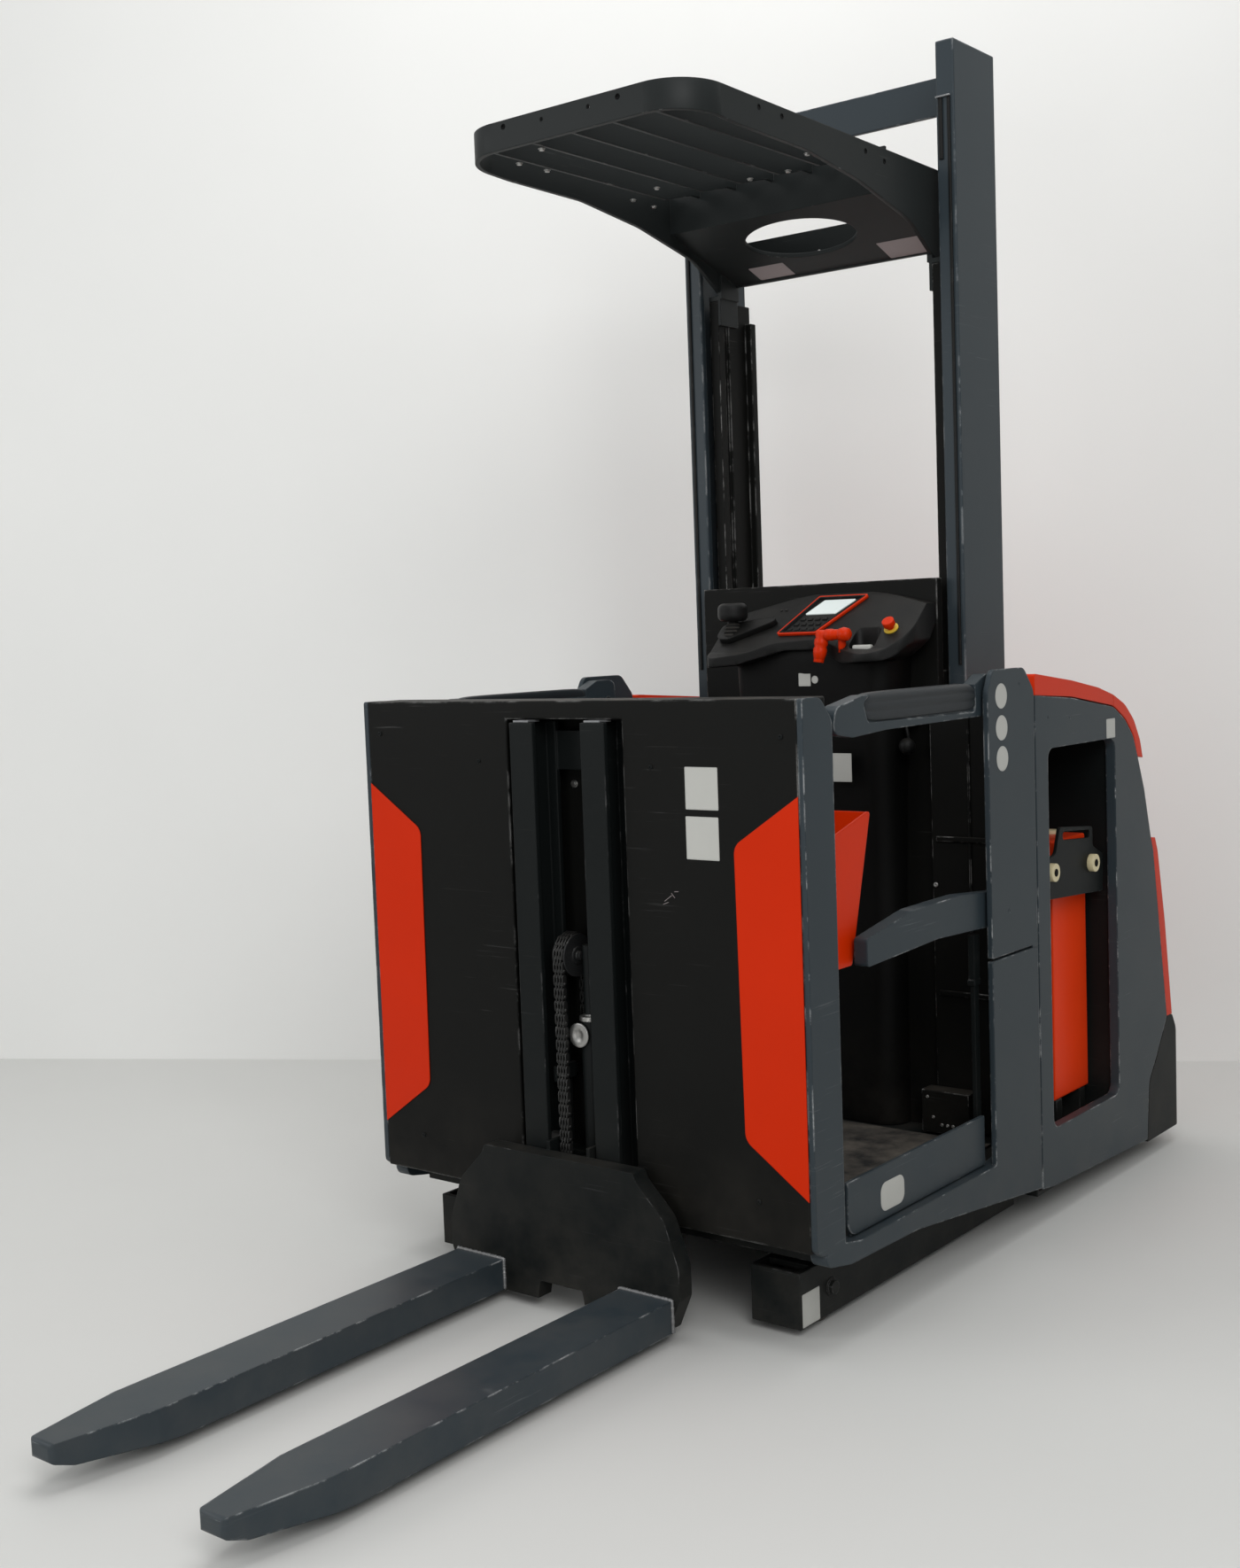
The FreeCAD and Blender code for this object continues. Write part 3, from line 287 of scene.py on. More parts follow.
def mix_colour(tree, spot, factor, first, second):
    """Mixes two colours, or a socket and a colour, by a mask."""
    node = add_node(tree, "ShaderNodeMix", spot, data_type="RGBA")
    feed_at(node, {0: factor, 6: first, 7: second})
    return node.outputs[2]


def finish(name, colour, rough, metal=0.0, vary=0.2, bare=(0.3, 0.3, 0.3), wear=0.4, scratch=0.3,
           scratch_scale=5.0, dust_top=0.3, dust_low=0.3, grain=300.0, cells=0.3, bump=0.05, edge=0.003,
           coat=0.0, shine=0.5):
    """A complete material of the truck."""
    material = bpy.data.materials.new(name)
    material.use_nodes = True
    material.diffuse_color = (*colour, 1)
    tree = material.node_tree
    shader = tree.nodes["Principled BSDF"]
    shader.location = (900, 0)
    shade = noise(tree, (-700, 300), object_place(tree, (-900, 300)), Scale=4.0, Detail=5.0, Roughness=0.6)
    darker = tuple(value * (1 - vary) for value in colour) + (1,)
    lighter = tuple(min(1.0, value * (1 + vary)) for value in colour) + (1,)
    scuff = tuple(0.55 * own + 0.45 * under for own, under in zip(colour, bare)) + (1,)
    edges = place_group(tree, worn_edges, (-700, 0), Radius=edge, Coverage=wear)
    marks = place_group(tree, scratches, (-700, -200), Scale=scratch_scale, Amount=scratch)
    film = place_group(tree, settled_dust, (-700, -400), On_Top=dust_top, Near_Floor=dust_low)
    base = mix_colour(tree, (-450, 300), shade, darker, lighter)
    scuffed = mix_colour(tree, (-200, 200), marks.outputs["Mask"], base, scuff)
    worn = mix_colour(tree, (50, 200), edges.outputs["Mask"], scuffed, (*bare, 1))
    dusty = mix_colour(tree, (300, 200), film.outputs["Mask"], worn, DUST)
    dull = ranged(tree, (300, -100), film.outputs["Mask"], To_Min=rough, To_Max=min(1.0, rough + 0.4))
    uneven = ranged(tree, (300, -350), shade, To_Min=-0.07, To_Max=0.07)
    texture = place_group(tree, surface_grain, (0, -500), Scale=grain, Cells=cells)
    relief = add_node(tree, "ShaderNodeBump", (550, -400))
    feed(relief, Strength=bump, Distance=0.002, Height=texture.outputs["Height"],
         Normal=edges.outputs["Normal"])
    feed(shader, Base_Color=dusty, Roughness=maths(tree, (550, -150), "ADD", dull, uneven, clamp=True),
         Normal=relief.outputs["Normal"], Metallic=metal, Specular_IOR_Level=shine, Coat_Weight=coat,
         Coat_Roughness=0.25)
    return material


# %% [markdown]
# Now the finishes themselves. The frame is a dark blue-grey enamel, the cab's front is a matt
# black one with rubbed edges, and the accents are a warm orange-red, partly sheet metal and partly
# moulded plastic. Rubber, castings and oiled steel follow. The table has one entry for a finish, so
# that two of them can be compared at a glance.

# %% Finishes of the truck
MOULDED = dict(bare=(0.05, 0.05, 0.048), wear=0.42, scratch=0.12, grain=900.0, cells=0.8, bump=0.2,
               edge=0.006, dust_top=0.1, dust_low=0.1)
FINISHES = {
    "grey_paint": dict(colour=(0.026, 0.036, 0.043), rough=0.4, bare=(0.46, 0.47, 0.47), wear=0.49,
                       scratch=0.35, vary=0.12, dust_top=0.1, dust_low=0.1, bump=0.04, edge=0.005,
                       shine=0.25),
    "dark_paint": dict(colour=(0.006, 0.0075, 0.0075), rough=0.46, bare=(0.18, 0.18, 0.18), wear=0.45,
                       scratch=0.25, dust_low=0.1, dust_top=0.1, shine=0.12),
    "black_paint": dict(colour=(0.0055, 0.0056, 0.005), rough=0.5, bare=(0.34, 0.34, 0.33), wear=0.52,
                        edge=0.004, scratch=0.26, scratch_scale=4.0, vary=0.15, dust_low=0.08, dust_top=0.2,
                        shine=0.1),
    "guard_enamel": dict(colour=(0.014, 0.0165, 0.0165), rough=0.48, bare=(0.3, 0.3, 0.29), wear=0.42,
                         scratch=0.2, vary=0.12, dust_top=0.2, dust_low=0.0, shine=0.18),
    "red_paint": dict(colour=(0.56, 0.021, 0.0), rough=0.38, bare=(0.3, 0.12, 0.08), wear=0.3, scratch=0.12,
                      vary=0.06, dust_top=0.12, dust_low=0.05, shine=0.12),
    # Painted light: the battery's red is a brighter copy of red_paint, for the light its deep recess lacks.
    "lit_battery_red": dict(colour=(0.85, 0.05, 0.006), rough=0.38, bare=(0.3, 0.12, 0.08), wear=0.3,
                           scratch=0.15, vary=0.08, dust_top=0.15, dust_low=0.05, shine=0.2),
    # Painted shade: the column's moulding is a darker copy of dark_plastic, against the light from above.
    "shaded_column_plastic": dict(MOULDED, colour=(0.0036, 0.0036, 0.0034), rough=0.5, shine=0.12),
    "red_plastic": dict(colour=(0.6, 0.026, 0.0), rough=0.36, bare=(0.7, 0.2, 0.13), wear=0.25, scratch=0.12,
                        vary=0.05, dust_top=0.1, dust_low=0.05, edge=0.004, bump=0.03, shine=0.15),
    "dark_plastic": dict(MOULDED, colour=(0.0075, 0.0076, 0.0074), rough=0.42, shine=0.18),
    "cream_plastic": dict(colour=(0.62, 0.54, 0.33), rough=0.4, bare=(0.7, 0.68, 0.6), wear=0.3, scratch=0.2,
                          vary=0.15),
    "yellow_plastic": dict(colour=(0.7, 0.48, 0.03), rough=0.4, wear=0.2, scratch=0.1),
    "soft_pad": dict(colour=(0.017, 0.0205, 0.0235), rough=0.42, bare=(0.08, 0.085, 0.09), wear=0.4,
                     scratch=0.2, grain=700.0, cells=0.7, bump=0.15, edge=0.005, dust_top=0.1, shine=0.25),
    "mat_rubber": dict(colour=(0.016, 0.016, 0.0155), rough=0.75, bare=(0.1, 0.1, 0.09), wear=0.5,
                       scratch=0.5, dust_top=0.55, dust_low=0.3, grain=500.0, bump=0.25, shine=0.2),
    "tread_rubber": dict(colour=(0.035, 0.033, 0.03), rough=0.7, bare=(0.12, 0.11, 0.1), wear=0.5,
                         dust_low=0.6, grain=400.0, bump=0.3, shine=0.25),
    "cast_metal": dict(colour=(0.02, 0.0205, 0.021), rough=0.5, metal=0.3, bare=(0.25, 0.25, 0.24), wear=0.5,
                       grain=250.0, cells=0.6, bump=0.35, shine=0.3),
    "bright_steel": dict(colour=(0.36, 0.355, 0.34), rough=0.33, metal=0.9, bare=(0.6, 0.6, 0.58), wear=0.5,
                         dust_low=0.3, bump=0.06),
    "screen_glass": dict(colour=(0.5, 0.54, 0.53), rough=0.12, wear=0.0, scratch=0.05, dust_top=0.05,
                         dust_low=0.0, bump=0.0, vary=0.08, coat=0.6),
    "label_white": dict(colour=(0.46, 0.46, 0.43), rough=0.45, wear=0.2, bare=(0.4, 0.4, 0.38), scratch=0.35,
                        vary=0.1, dust_top=0.1),
    "label_faded": dict(colour=(0.3, 0.26, 0.26), rough=0.5, wear=0.2, scratch=0.3, vary=0.15),
    # Near-black and matt: painted shade inside the guard's holes, and the dark hubs of the battery lock
    # rollers.
    "hole_shade_and_hub_dark": dict(colour=(0.004, 0.004, 0.004), rough=0.7, wear=0.0, scratch=0.0, dust_top=0.1,
                        shine=0.1),
    "bead_metal": dict(colour=(0.2, 0.205, 0.21), rough=0.4, metal=0.5, wear=0.5, bare=(0.55, 0.55, 0.54),
                       scratch=0.2),
    "chain_steel": dict(colour=(0.035, 0.035, 0.034), rough=0.42, metal=0.7, wear=0.45, bare=(0.3, 0.3, 0.29),
                        scratch=0.1),
}
materials = {name: finish(name, **numbers) for name, numbers in FINISHES.items()}
print("finishes", len(materials))

# %% [markdown]
# The display glows a little, like a liquid crystal panel that is switched on. A pale emission on
# top of its finish does that without lighting the cab.

# %% The lit display
feed(materials["screen_glass"].node_tree.nodes["Principled BSDF"], Emission_Color=(0.78, 0.86, 0.83, 1),
     Emission_Strength=0.35)

# %% [markdown]
# Each CAD node names the slot of its finish in the record. We walk through that list and hang the
# material on the node. Four nodes differ: the fork mast's enamel is darker than the rest, the guard
# has a lighter black, the battery's red is a brighter copy of the red paint, painted light for the
# dim recess it sits in, and the column is a darker moulding than the console's top, painted shade
# against the light that falls on it from above. Sheet metal and mouldings never have razor edges,
# so most nodes also get two modifiers: Weld closes the loose triangles of the CAD mesh, and Bevel
# rounds every edge that turns by more than thirty degrees. The width follows how the piece is made:
# folded sheet is tighter than a moulding or a forged fork.

# %% Hang the finishes on the CAD nodes and round their edges
# The battery's brighter red is painted light, and the console column's darker moulding is painted shade.
OTHER_FINISH = {"fork_mast": "dark_paint", "overhead_guard": "guard_enamel", "battery": "lit_battery_red",
                "console_column": "shaded_column_plastic"}
ROUNDING = {
    0.8: "battery_lock_rollers display_bezel display_keys",
    1.2: "battery_lock_plates",
    1.5: "overhead_guard kick_plates fork_lift_cylinder",
    2.0: "chassis_frame side_panels rear_upper_cover cab_back_frame fork_mast side_bins steering_knob "
         "gate_rest_rails stop_button",
    2.5: "cab_side_frames cab_posts",
    3.0: "front_wall hood_front hood_rear main_mast hand_control steer_yoke drive_hub",
    4.0: "battery upper_gate_right upper_gate_left lower_gate_right lower_gate_left fork_carriage forks",
    5.0: "rear_lower_cover console_column console_top",
    6.0: "rear_bumper",
}
widths = {name: width for width, names in ROUNDING.items() for name in names.split()}
slots = {row["node"]: row["material_slot"] for row in frame["record"]["subparts"]}
for name, node in nodes.items():
    node.data.materials.clear()
    node.data.materials.append(materials[OTHER_FINISH.get(name, slots[name])])
    if name in widths:
        weld = node.modifiers.new("weld", "WELD")
        weld.merge_threshold = 0.00002
        bevel = node.modifiers.new("round", "BEVEL")
        bevel.width = widths[name] / 1000
        bevel.segments = 2
        bevel.limit_method = "ANGLE"
        bevel.angle_limit = math.radians(30)
        bevel.use_clamp_overlap = True
print("rounded", len(widths), "of", len(nodes), "nodes")

# %% [markdown]
# Everything from here on is a new piece. Each one is a mesh with its place in its vertices, a
# material, and a body of the truck that carries it. One helper does these three things in the
# right order, so that no piece is left hanging in the air when the cab or a gate moves. The slot
# names the nearest finish of the record, and is given only where the finish isn't one itself.

# %% Helpers that finish a new piece


def hang(name, mesh, material, body, slot=None):
    """Makes an object of a mesh in truck metres and lets it ride on a body."""
    slot = slot or material
    mesh.materials.clear()
    mesh.materials.append(materials[material])
    piece = add_object(name, mesh)
    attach(piece, body)
    return piece


def mesh_from(name, build, smooth=None):
    """Runs a function on an empty bmesh and returns the mesh."""
    mesh = bpy.data.meshes.new(name)
    work = bmesh.new()
    build(work)
    bmesh.ops.recalc_face_normals(work, faces=work.faces)
    work.to_mesh(mesh)
    work.free()
    if smooth is not None:
        soften(mesh, smooth)
    return mesh


def soften(mesh, angle):
    """Smooth shading, with the edges over an angle left sharp."""
    mesh.shade_smooth()
    mesh.set_sharp_from_angle(angle=math.radians(angle))


def build_piece(name, build, material, body, slot=None, smooth=None):
    """A new piece straight from its build function."""
    return hang(name, mesh_from(name, build, smooth), material, body, slot)


def stitch(work, loops):
    """Joins loops of vertices one to the next and closes both ends."""
    for low, high in zip(loops, loops[1:]):
        for step in range(len(low)):
            after = (step + 1) % len(low)
            work.faces.new((low[step], low[after], high[after], high[step]))
    work.faces.new(loops[0][::-1])
    work.faces.new(loops[-1])


# %% [markdown]
# Screws, bolts and caps are all turned parts, so each head is a short profile spun about an axis.
# The Spin operator would do it, and so would a Screw modifier. We write the rings ourselves, since
# a head also needs its hexagon socket or its six flats, which only means another number of corners
# on some of the rings. The heads are templates: Geometry Nodes puts copies of them in place, and
# they are taken away at the end.

# %% Templates for screw heads
HEAD_RINGS = {
    "socket_screw": [(1.0, 0.0, 12), (1.0, 0.32, 12), (0.86, 0.52, 12), (0.6, 0.62, 12), (0.46, 0.62, 6),
                     (0.44, 0.3, 6)],
    "hex_bolt": [(1.25, 0.0, 12), (1.25, 0.12, 12), (1.0, 0.13, 6), (1.0, 0.62, 6), (0.88, 0.72, 12)],
    "plain_hole": [(1.0, 0.0, 12), (1.0, 0.05, 12), (0.8, 0.07, 12), (0.7, 0.02, 12)],
    "vent_cap": [(1.0, 0.0, 12), (1.0, 0.5, 12), (0.85, 0.62, 12), (0.4, 0.62, 12), (0.36, 0.45, 12)],
}
SIXTH = math.pi / 3
templates = {}


def lathed(work, rings):
    """Stacks rings of (radius, height, corners) along Z, each with twelve vertices."""
    loops = []
    for radius, height, corners in rings:
        loop = []
        for step in range(12):
            angle = math.radians(30 * step)
            reach = radius
            if corners == 6:
                inside = (angle + SIXTH / 2) % SIXTH - SIXTH / 2
                reach = radius * math.cos(SIXTH / 2) / math.cos(inside)
            loop.append(work.verts.new((reach * math.cos(angle), reach * math.sin(angle), height)))
        loops.append(loop)
    stitch(work, loops)


def add_template(name, build, smooth=None):
    """A small object that the trees copy."""
    templates[name] = add_object(name, mesh_from(name, build, smooth))


for head_name, head_rings in HEAD_RINGS.items():
    add_template(head_name, lambda work, rings=head_rings: lathed(work, rings), 40)
print("templates", {name: len(thing.data.polygons) for name, thing in templates.items()})

# %% [markdown]
# The truck shows dozens of small fasteners that lie on faces of every direction. Placing each by
# hand would be slow and hard to change. Instead, every fastener is one point of a mesh, with its
# direction and size stored on the point, and a tree of Geometry Nodes puts a head on each. A random
# turn about its own axis, with a fixed seed, keeps two neighbours from looking alike.

# %% How every tree begins and ends


def new_tree(name, inputs):
    """A Geometry Nodes group with its geometry sockets, named inputs and a material."""
    sockets = [("Geometry", "Geometry", None)] + inputs + [("Material", "Material", None)]
    tree, start, end = new_group(name, "GeometryNodeTree", sockets, [("Geometry", "Geometry")])
    tree.is_modifier = True
    return tree, start, end


def scatter(tree, start, end, points, template, **how):
    """Ends a tree: a template's copies on points, in Realize Instances and Set Material."""
    info = add_node(tree, "GeometryNodeObjectInfo", (-50, 250))
    feed(info, Object=start.outputs[template])
    placed = add_node(tree, "GeometryNodeInstanceOnPoints", (200, 0))
    feed(placed, Points=points, Instance=info.outputs["Geometry"], **how)
    real = add_node(tree, "GeometryNodeRealizeInstances", (500, 0))
    feed(real, Geometry=placed.outputs["Instances"])
    painted = add_node(tree, "GeometryNodeSetMaterial", (700, 0))
    feed(painted, Geometry=real.outputs["Geometry"], Material=start.outputs["Material"])
    feed(end, Geometry=painted.outputs["Geometry"])
    print("tree", tree.name, "nodes", len(tree.nodes))


# %% Geometry Nodes tree: heads on points
heads_on_points, start, end = new_tree("heads_on_points", [("Head", "Object", None), ("Seed", "Int", 7)])
facing = add_node(heads_on_points, "GeometryNodeInputNamedAttribute", (-700, -100), data_type="FLOAT_VECTOR")
feed(facing, Name="facing")
size = add_node(heads_on_points, "GeometryNodeInputNamedAttribute", (-700, -300), data_type="FLOAT")
feed(size, Name="size")
aligned = add_node(heads_on_points, "FunctionNodeAlignRotationToVector", (-450, -100), axis="Z")
feed(aligned, Vector=facing.outputs["Attribute"])
angle = add_node(heads_on_points, "FunctionNodeRandomValue", (-700, -500), data_type="FLOAT")
feed_at(angle, {3: math.tau, "Seed": start.outputs["Seed"]})
spin = add_node(heads_on_points, "FunctionNodeAxisAngleToRotation", (-450, -400))
feed(spin, Axis=(0, 0, 1), Angle=angle.outputs[1])
turned = add_node(heads_on_points, "FunctionNodeRotateRotation", (-200, -150), rotation_space="LOCAL")
feed(turned, Rotation=aligned.outputs["Rotation"], Rotate_By=spin.outputs["Rotation"])
scatter(heads_on_points, start, end, start.outputs["Geometry"], "Head",
        Rotation=turned.outputs["Rotation"], Scale=size.outputs["Attribute"])

# %% [markdown]
# A modifier reads its inputs by the identifier of the socket, not by the name that we see. The
# helper below looks the identifiers up, evaluates the object, and keeps the result as a plain mesh,
# because an exported model can't carry node trees.

# %% Turning a node tree's result into a plain piece


def grow(name, base_mesh, tree, inputs, material, body, slot=None, smooth=40):
    """Runs a tree on a mesh and hangs the result on a body as a plain mesh."""
    seed = add_object(name + "_seed", base_mesh)
    modifier = seed.modifiers.new("grow", "NODES")
    modifier.node_group = tree
    identifiers = {item.name: item.identifier for item in tree.interface.items_tree
                   if item.item_type == "SOCKET" and item.in_out == "INPUT"}
    for key, value in {**inputs, "Material": materials[material]}.items():
        modifier[identifiers[key]] = value
    graph = bpy.context.evaluated_depsgraph_get()
    mesh = bpy.data.meshes.new_from_object(seed.evaluated_get(graph), depsgraph=graph)
    mesh.name = name
    bpy.data.objects.remove(seed)
    soften(mesh, smooth)
    print(name, "faces", len(mesh.polygons))
    return hang(name, mesh, material, body, slot)


def plain_mesh(name, places, edges=()):
    """A mesh of points and edges from drawing places."""
    mesh = bpy.data.meshes.new(name)
    mesh.from_pydata([at(*place) for place in places], edges, [])
    return mesh


def fasten(name, rows, head, seed, material, body, slot=None):
    """Fasteners from rows of drawing place, facing and size in millimetres."""
    mesh = plain_mesh(name, [place for place, _, _ in rows])
    direction = mesh.attributes.new("facing", "FLOAT_VECTOR", "POINT")
    direction.data.foreach_set("vector", [part for _, way, _ in rows for part in Vector(way).normalized()])
    extent = mesh.attributes.new("size", "FLOAT", "POINT")
    extent.data.foreach_set("value", [millimetres / 1000 for _, _, millimetres in rows])
    grow(name, mesh, heads_on_points, {"Head": templates[head], "Seed": seed}, material, body, slot)


# %% [markdown]
# The tables below give each fastener its place on the drawing. They are grouped by what carries
# them and by kind, since one mesh may ride on one body only. The ones on the front wall and under
# the overhead guard were measured; those behind the truck follow the way such covers are held.

# %% Fasteners of the cab, the chassis and the wheels
HALF = 565.5
HUB_FACE, HUB_Y, HUB_Z, BOLT_RADIUS = 43.2, 1545, 120, 30
FRONT, RIGHT, UP, DOWN = (0, -1, 0), (1, 0, 0), (0, 0, 1), (0, 0, -1)


def both_sides(rows):
    """The rows and their mirror images on the left of the truck."""
    return rows + [((-x, y, z), (-fx, fy, fz), size) for (x, y, z), (fx, fy, fz), size in rows]


def sunk(y, z, size):
    """A countersunk screw in the truck's flat side, almost flush with it."""
    return (HALF - 0.52 * size, y, z), RIGHT, size


wall_screws = [((-518, 0, 1164), FRONT, 5), ((-230, 0, 1109), FRONT, 4.5), ((219, 0, 1104), FRONT, 4.5),
               ((-440, 0, 288), FRONT, 5), ((440, 0, 288), FRONT, 5), ((518, 0, 1164), FRONT, 5)]
frame_screws = both_sides([sunk(802, 734, 7), sunk(749, 531, 5), sunk(869, 1222, 5)])
guard_screws = [((x, y, 2352), DOWN, 6) for x, y in (
    (-117, 145), (-223, 196), (-220, 282), (-151, 578), (-257, 627), (-265, 716), (40, 667), (138, 670),
    (245, 580))]
# The guard's holes are shallow near-black dishes: painted shade that stands for the hollow behind each hole.
guard_plugs = [((-162, 80, 2392), FRONT, 6), ((134, 80, 2390), FRONT, 6)] + both_sides(
    [((302, y, z), RIGHT, 6) for y, z in ((316, 2383), (398, 2381), (723, 2372), (802, 2364))])
back_screws = [((324, 920, 761), FRONT, 6), ((-324, 920, 761), FRONT, 6), ((-40, 1076, 2262), FRONT, 6),
               ((60, 1076, 2262), FRONT, 6)]
cover_screws = [((x, y, z), (0, 1, lean), 9)
                for x in (-480, 0, 480) for y, z, lean in ((1695.1, 400, 0.159), (1635.6, 720, 0.221))]
hub_bolts = [((HUB_FACE * side, HUB_Y + BOLT_RADIUS * math.cos(a), HUB_Z + BOLT_RADIUS * math.sin(a)),
              (side, 0, 0), 7) for side in (-1, 1) for a in (math.tau * n / 6 for n in range(6))]
fasten("wall_screws", wall_screws, "socket_screw", 3, "dark_paint", "cab")
fasten("frame_screws", frame_screws, "socket_screw", 4, "grey_paint", "cab")
fasten("guard_screws", guard_screws, "hex_bolt", 5, "bright_steel", "cab")
fasten("guard_plugs", guard_plugs, "plain_hole", 6, "hole_shade_and_hub_dark", "cab", "dark_paint")
fasten("back_wall_screws", back_screws, "socket_screw", 8, "bright_steel", "cab")
fasten("recess_bolt", [((-51, 92, 1058), FRONT, 7)], "hex_bolt", 9, "bright_steel", "cab")
fasten("chassis_screws", both_sides([sunk(1122, 1133, 5), sunk(1010, 1140, 5)]), "socket_screw", 10,
       "grey_paint", "chassis")
fasten("axle_bolts", both_sides([((473, 190, 72), RIGHT, 15)]), "hex_bolt", 11, "dark_paint", "chassis")
fasten("rear_cover_screws", cover_screws, "socket_screw", 13, "dark_paint", "chassis")
fasten("hub_bolts", hub_bolts, "hex_bolt", 12, "bright_steel", "drive_wheel")

# %% [markdown]
# The battery's red box carries rows of vent caps on its lid, one for each cell. A grid is the
# plainest rule there is: the Mesh Grid node makes the points, and its numbers are inputs of the
# tree. The grid is laid where the base mesh, a single point in the middle of the lid, tells it to.

# %% Geometry Nodes tree: caps on a grid
caps_on_grid, start, end = new_tree("caps_on_grid", [
    ("Columns", "Int", 12), ("Rows", "Int", 2), ("Length", "Float", 0.8), ("Width", "Float", 0.1),
    ("Cap Size", "Float", 0.02), ("Head", "Object", None)])
grid = add_node(caps_on_grid, "GeometryNodeMeshGrid", (-500, 100))
feed(grid, Size_X=start.outputs["Length"], Size_Y=start.outputs["Width"],
     Vertices_X=start.outputs["Columns"], Vertices_Y=start.outputs["Rows"])
lid_box = add_node(caps_on_grid, "GeometryNodeBoundBox", (-500, -150))
feed(lid_box, Geometry=start.outputs["Geometry"])
centre = add_node(caps_on_grid, "GeometryNodeTransform", (-250, 100))
feed(centre, Geometry=grid.outputs["Mesh"], Translation=lid_box.outputs["Min"])
scatter(caps_on_grid, start, end, centre.outputs["Geometry"], "Head", Scale=start.outputs["Cap Size"])
grow("battery_caps", plain_mesh("battery_lid_point", [(0, 1278, 838.2)]), caps_on_grid,
     {"Columns": 12, "Rows": 2, "Length": 0.84, "Width": 0.09, "Cap Size": 0.017,
      "Head": templates["vent_cap"]}, "cream_plastic", "chassis")

# %% [markdown]
# The forks are lifted by a leaf chain that runs over a wheel beside the lift cylinder. A chain is
# one short group of plates, repeated along a path. We build that group once: four outer plates,
# three inner ones and a pin, two pitches long. The path runs up to the wheel's front and over it.
# Resampling the curve by two pitches gives one point for each group, and aligning only about X
# keeps all plates upright.

# %% Geometry Nodes tree: chain links along a path


def along_edges(tree, start, spacing, **align):
    """Evenly spaced points along the base mesh's edges, and the rotation that follows them."""
    path = add_node(tree, "GeometryNodeMeshToCurve", (-700, 100))
    feed(path, Mesh=start.outputs["Geometry"])
    steps = add_node(tree, "GeometryNodeResampleCurve", (-500, 100), mode="LENGTH")
    feed(steps, Curve=path.outputs["Curve"], Length=start.outputs[spacing])
    heading = add_node(tree, "GeometryNodeInputTangent", (-500, -150))
    follow = add_node(tree, "FunctionNodeAlignRotationToVector", (-250, -100), axis="Z", **align)
    feed(follow, Vector=heading.outputs["Tangent"])
    return steps.outputs["Curve"], follow.outputs["Rotation"]


links_on_path, start, end = new_tree("links_on_path", [("Pitch", "Float", 0.013), ("Link", "Object", None)])
steps, upright = along_edges(links_on_path, start, "Pitch", pivot_axis="X")
scatter(links_on_path, start, end, steps, "Link", Rotation=upright)

# %% A link group, the path over the wheel, and the chain itself
PITCH = 0.013
CHAIN_X = -25.5
WHEEL_Y, WHEEL_Z = 32.0, 715.0
STRAND = 40.0


def plate(work, x_mm, thick_mm, low, high, half_mm):
    """One chain plate: a flat bar with rounded ends, standing across X."""
    outline = []
    for centre_z, first in ((high, 0), (low, math.pi)):
        for step in range(5):
            angle = first + math.pi * step / 4
            outline.append((half_mm * math.cos(angle) / 1000, centre_z + half_mm * math.sin(angle) / 1000))
    stitch(work, [[work.verts.new((x / 1000, y, z)) for y, z in outline]
                  for x in (x_mm - thick_mm / 2, x_mm + thick_mm / 2)])


def link_group(work):
    """Outer and inner plates one pitch long, with the pin between them."""
    for x_mm in (-11, -3.7, 3.7, 11):
        plate(work, x_mm, 2.6, 0.0, PITCH, 6.2)
    for x_mm in (-7.3, 0, 7.3):
        plate(work, x_mm, 2.6, -PITCH * 0.98, -PITCH * 0.02, 5.2)
    pin = bmesh.ops.create_cone(work, cap_ends=True, segments=8, radius1=0.0028, radius2=0.0028, depth=0.029)
    bmesh.ops.rotate(work, verts=pin["verts"], matrix=Matrix.Rotation(math.pi / 2, 3, "Y"))


add_template("chain_link", link_group)
chain_path = [(CHAIN_X, WHEEL_Y - STRAND, z) for z in range(236, 711, 26)]
chain_path += [(CHAIN_X, WHEEL_Y - STRAND * math.cos(turn), WHEEL_Z + STRAND * math.sin(turn))
               for turn in (math.pi * step / 18 for step in range(19))]
chain_path += [(CHAIN_X, WHEEL_Y + STRAND, z) for z in (680, 640, 600)]
path_mesh = plain_mesh("chain_path", chain_path, [(n, n + 1) for n in range(len(chain_path) - 1)])
chain = grow("leaf_chain", path_mesh, links_on_path, {"Pitch": PITCH * 2, "Link": templates["chain_link"]},
             "chain_steel", "cab", "bright_steel", smooth=30)

# %% [markdown]
# The wheel under the chain has a flange on each side that keeps the chain in place. Its section is
# a stepped profile, so it is lathed like the screw heads, but with more sides, and laid on its side.

# %% Chain wheel
WHEEL_RINGS = [(9, 0), (18, 0), (18, 3), (34, 3), (43, 2), (44, 3), (44, 5), (43, 6), (37, 7), (36, 9),
               (36, 27), (37, 29), (43, 30), (44, 31), (44, 33), (43, 34), (34, 33), (18, 33), (18, 36),
               (9, 36), (9, 44), (7.5, 45)]


def turned_part(work, rings, sides, place, axis):
    """Spins (radius, distance) rows about an axis through a drawing point, in millimetres."""
    tilt = Vector((0, 0, 1)).rotation_difference(Vector(axis)).to_matrix()
    loops = []
    for radius, distance in rings:
        loop = []
        for step in range(sides):
            angle = math.tau * step / sides
            local = Vector((radius * math.cos(angle), radius * math.sin(angle), distance)) / 1000
            loop.append(work.verts.new(at(*place) + tilt @ local))
        loops.append(loop)
    stitch(work, loops)


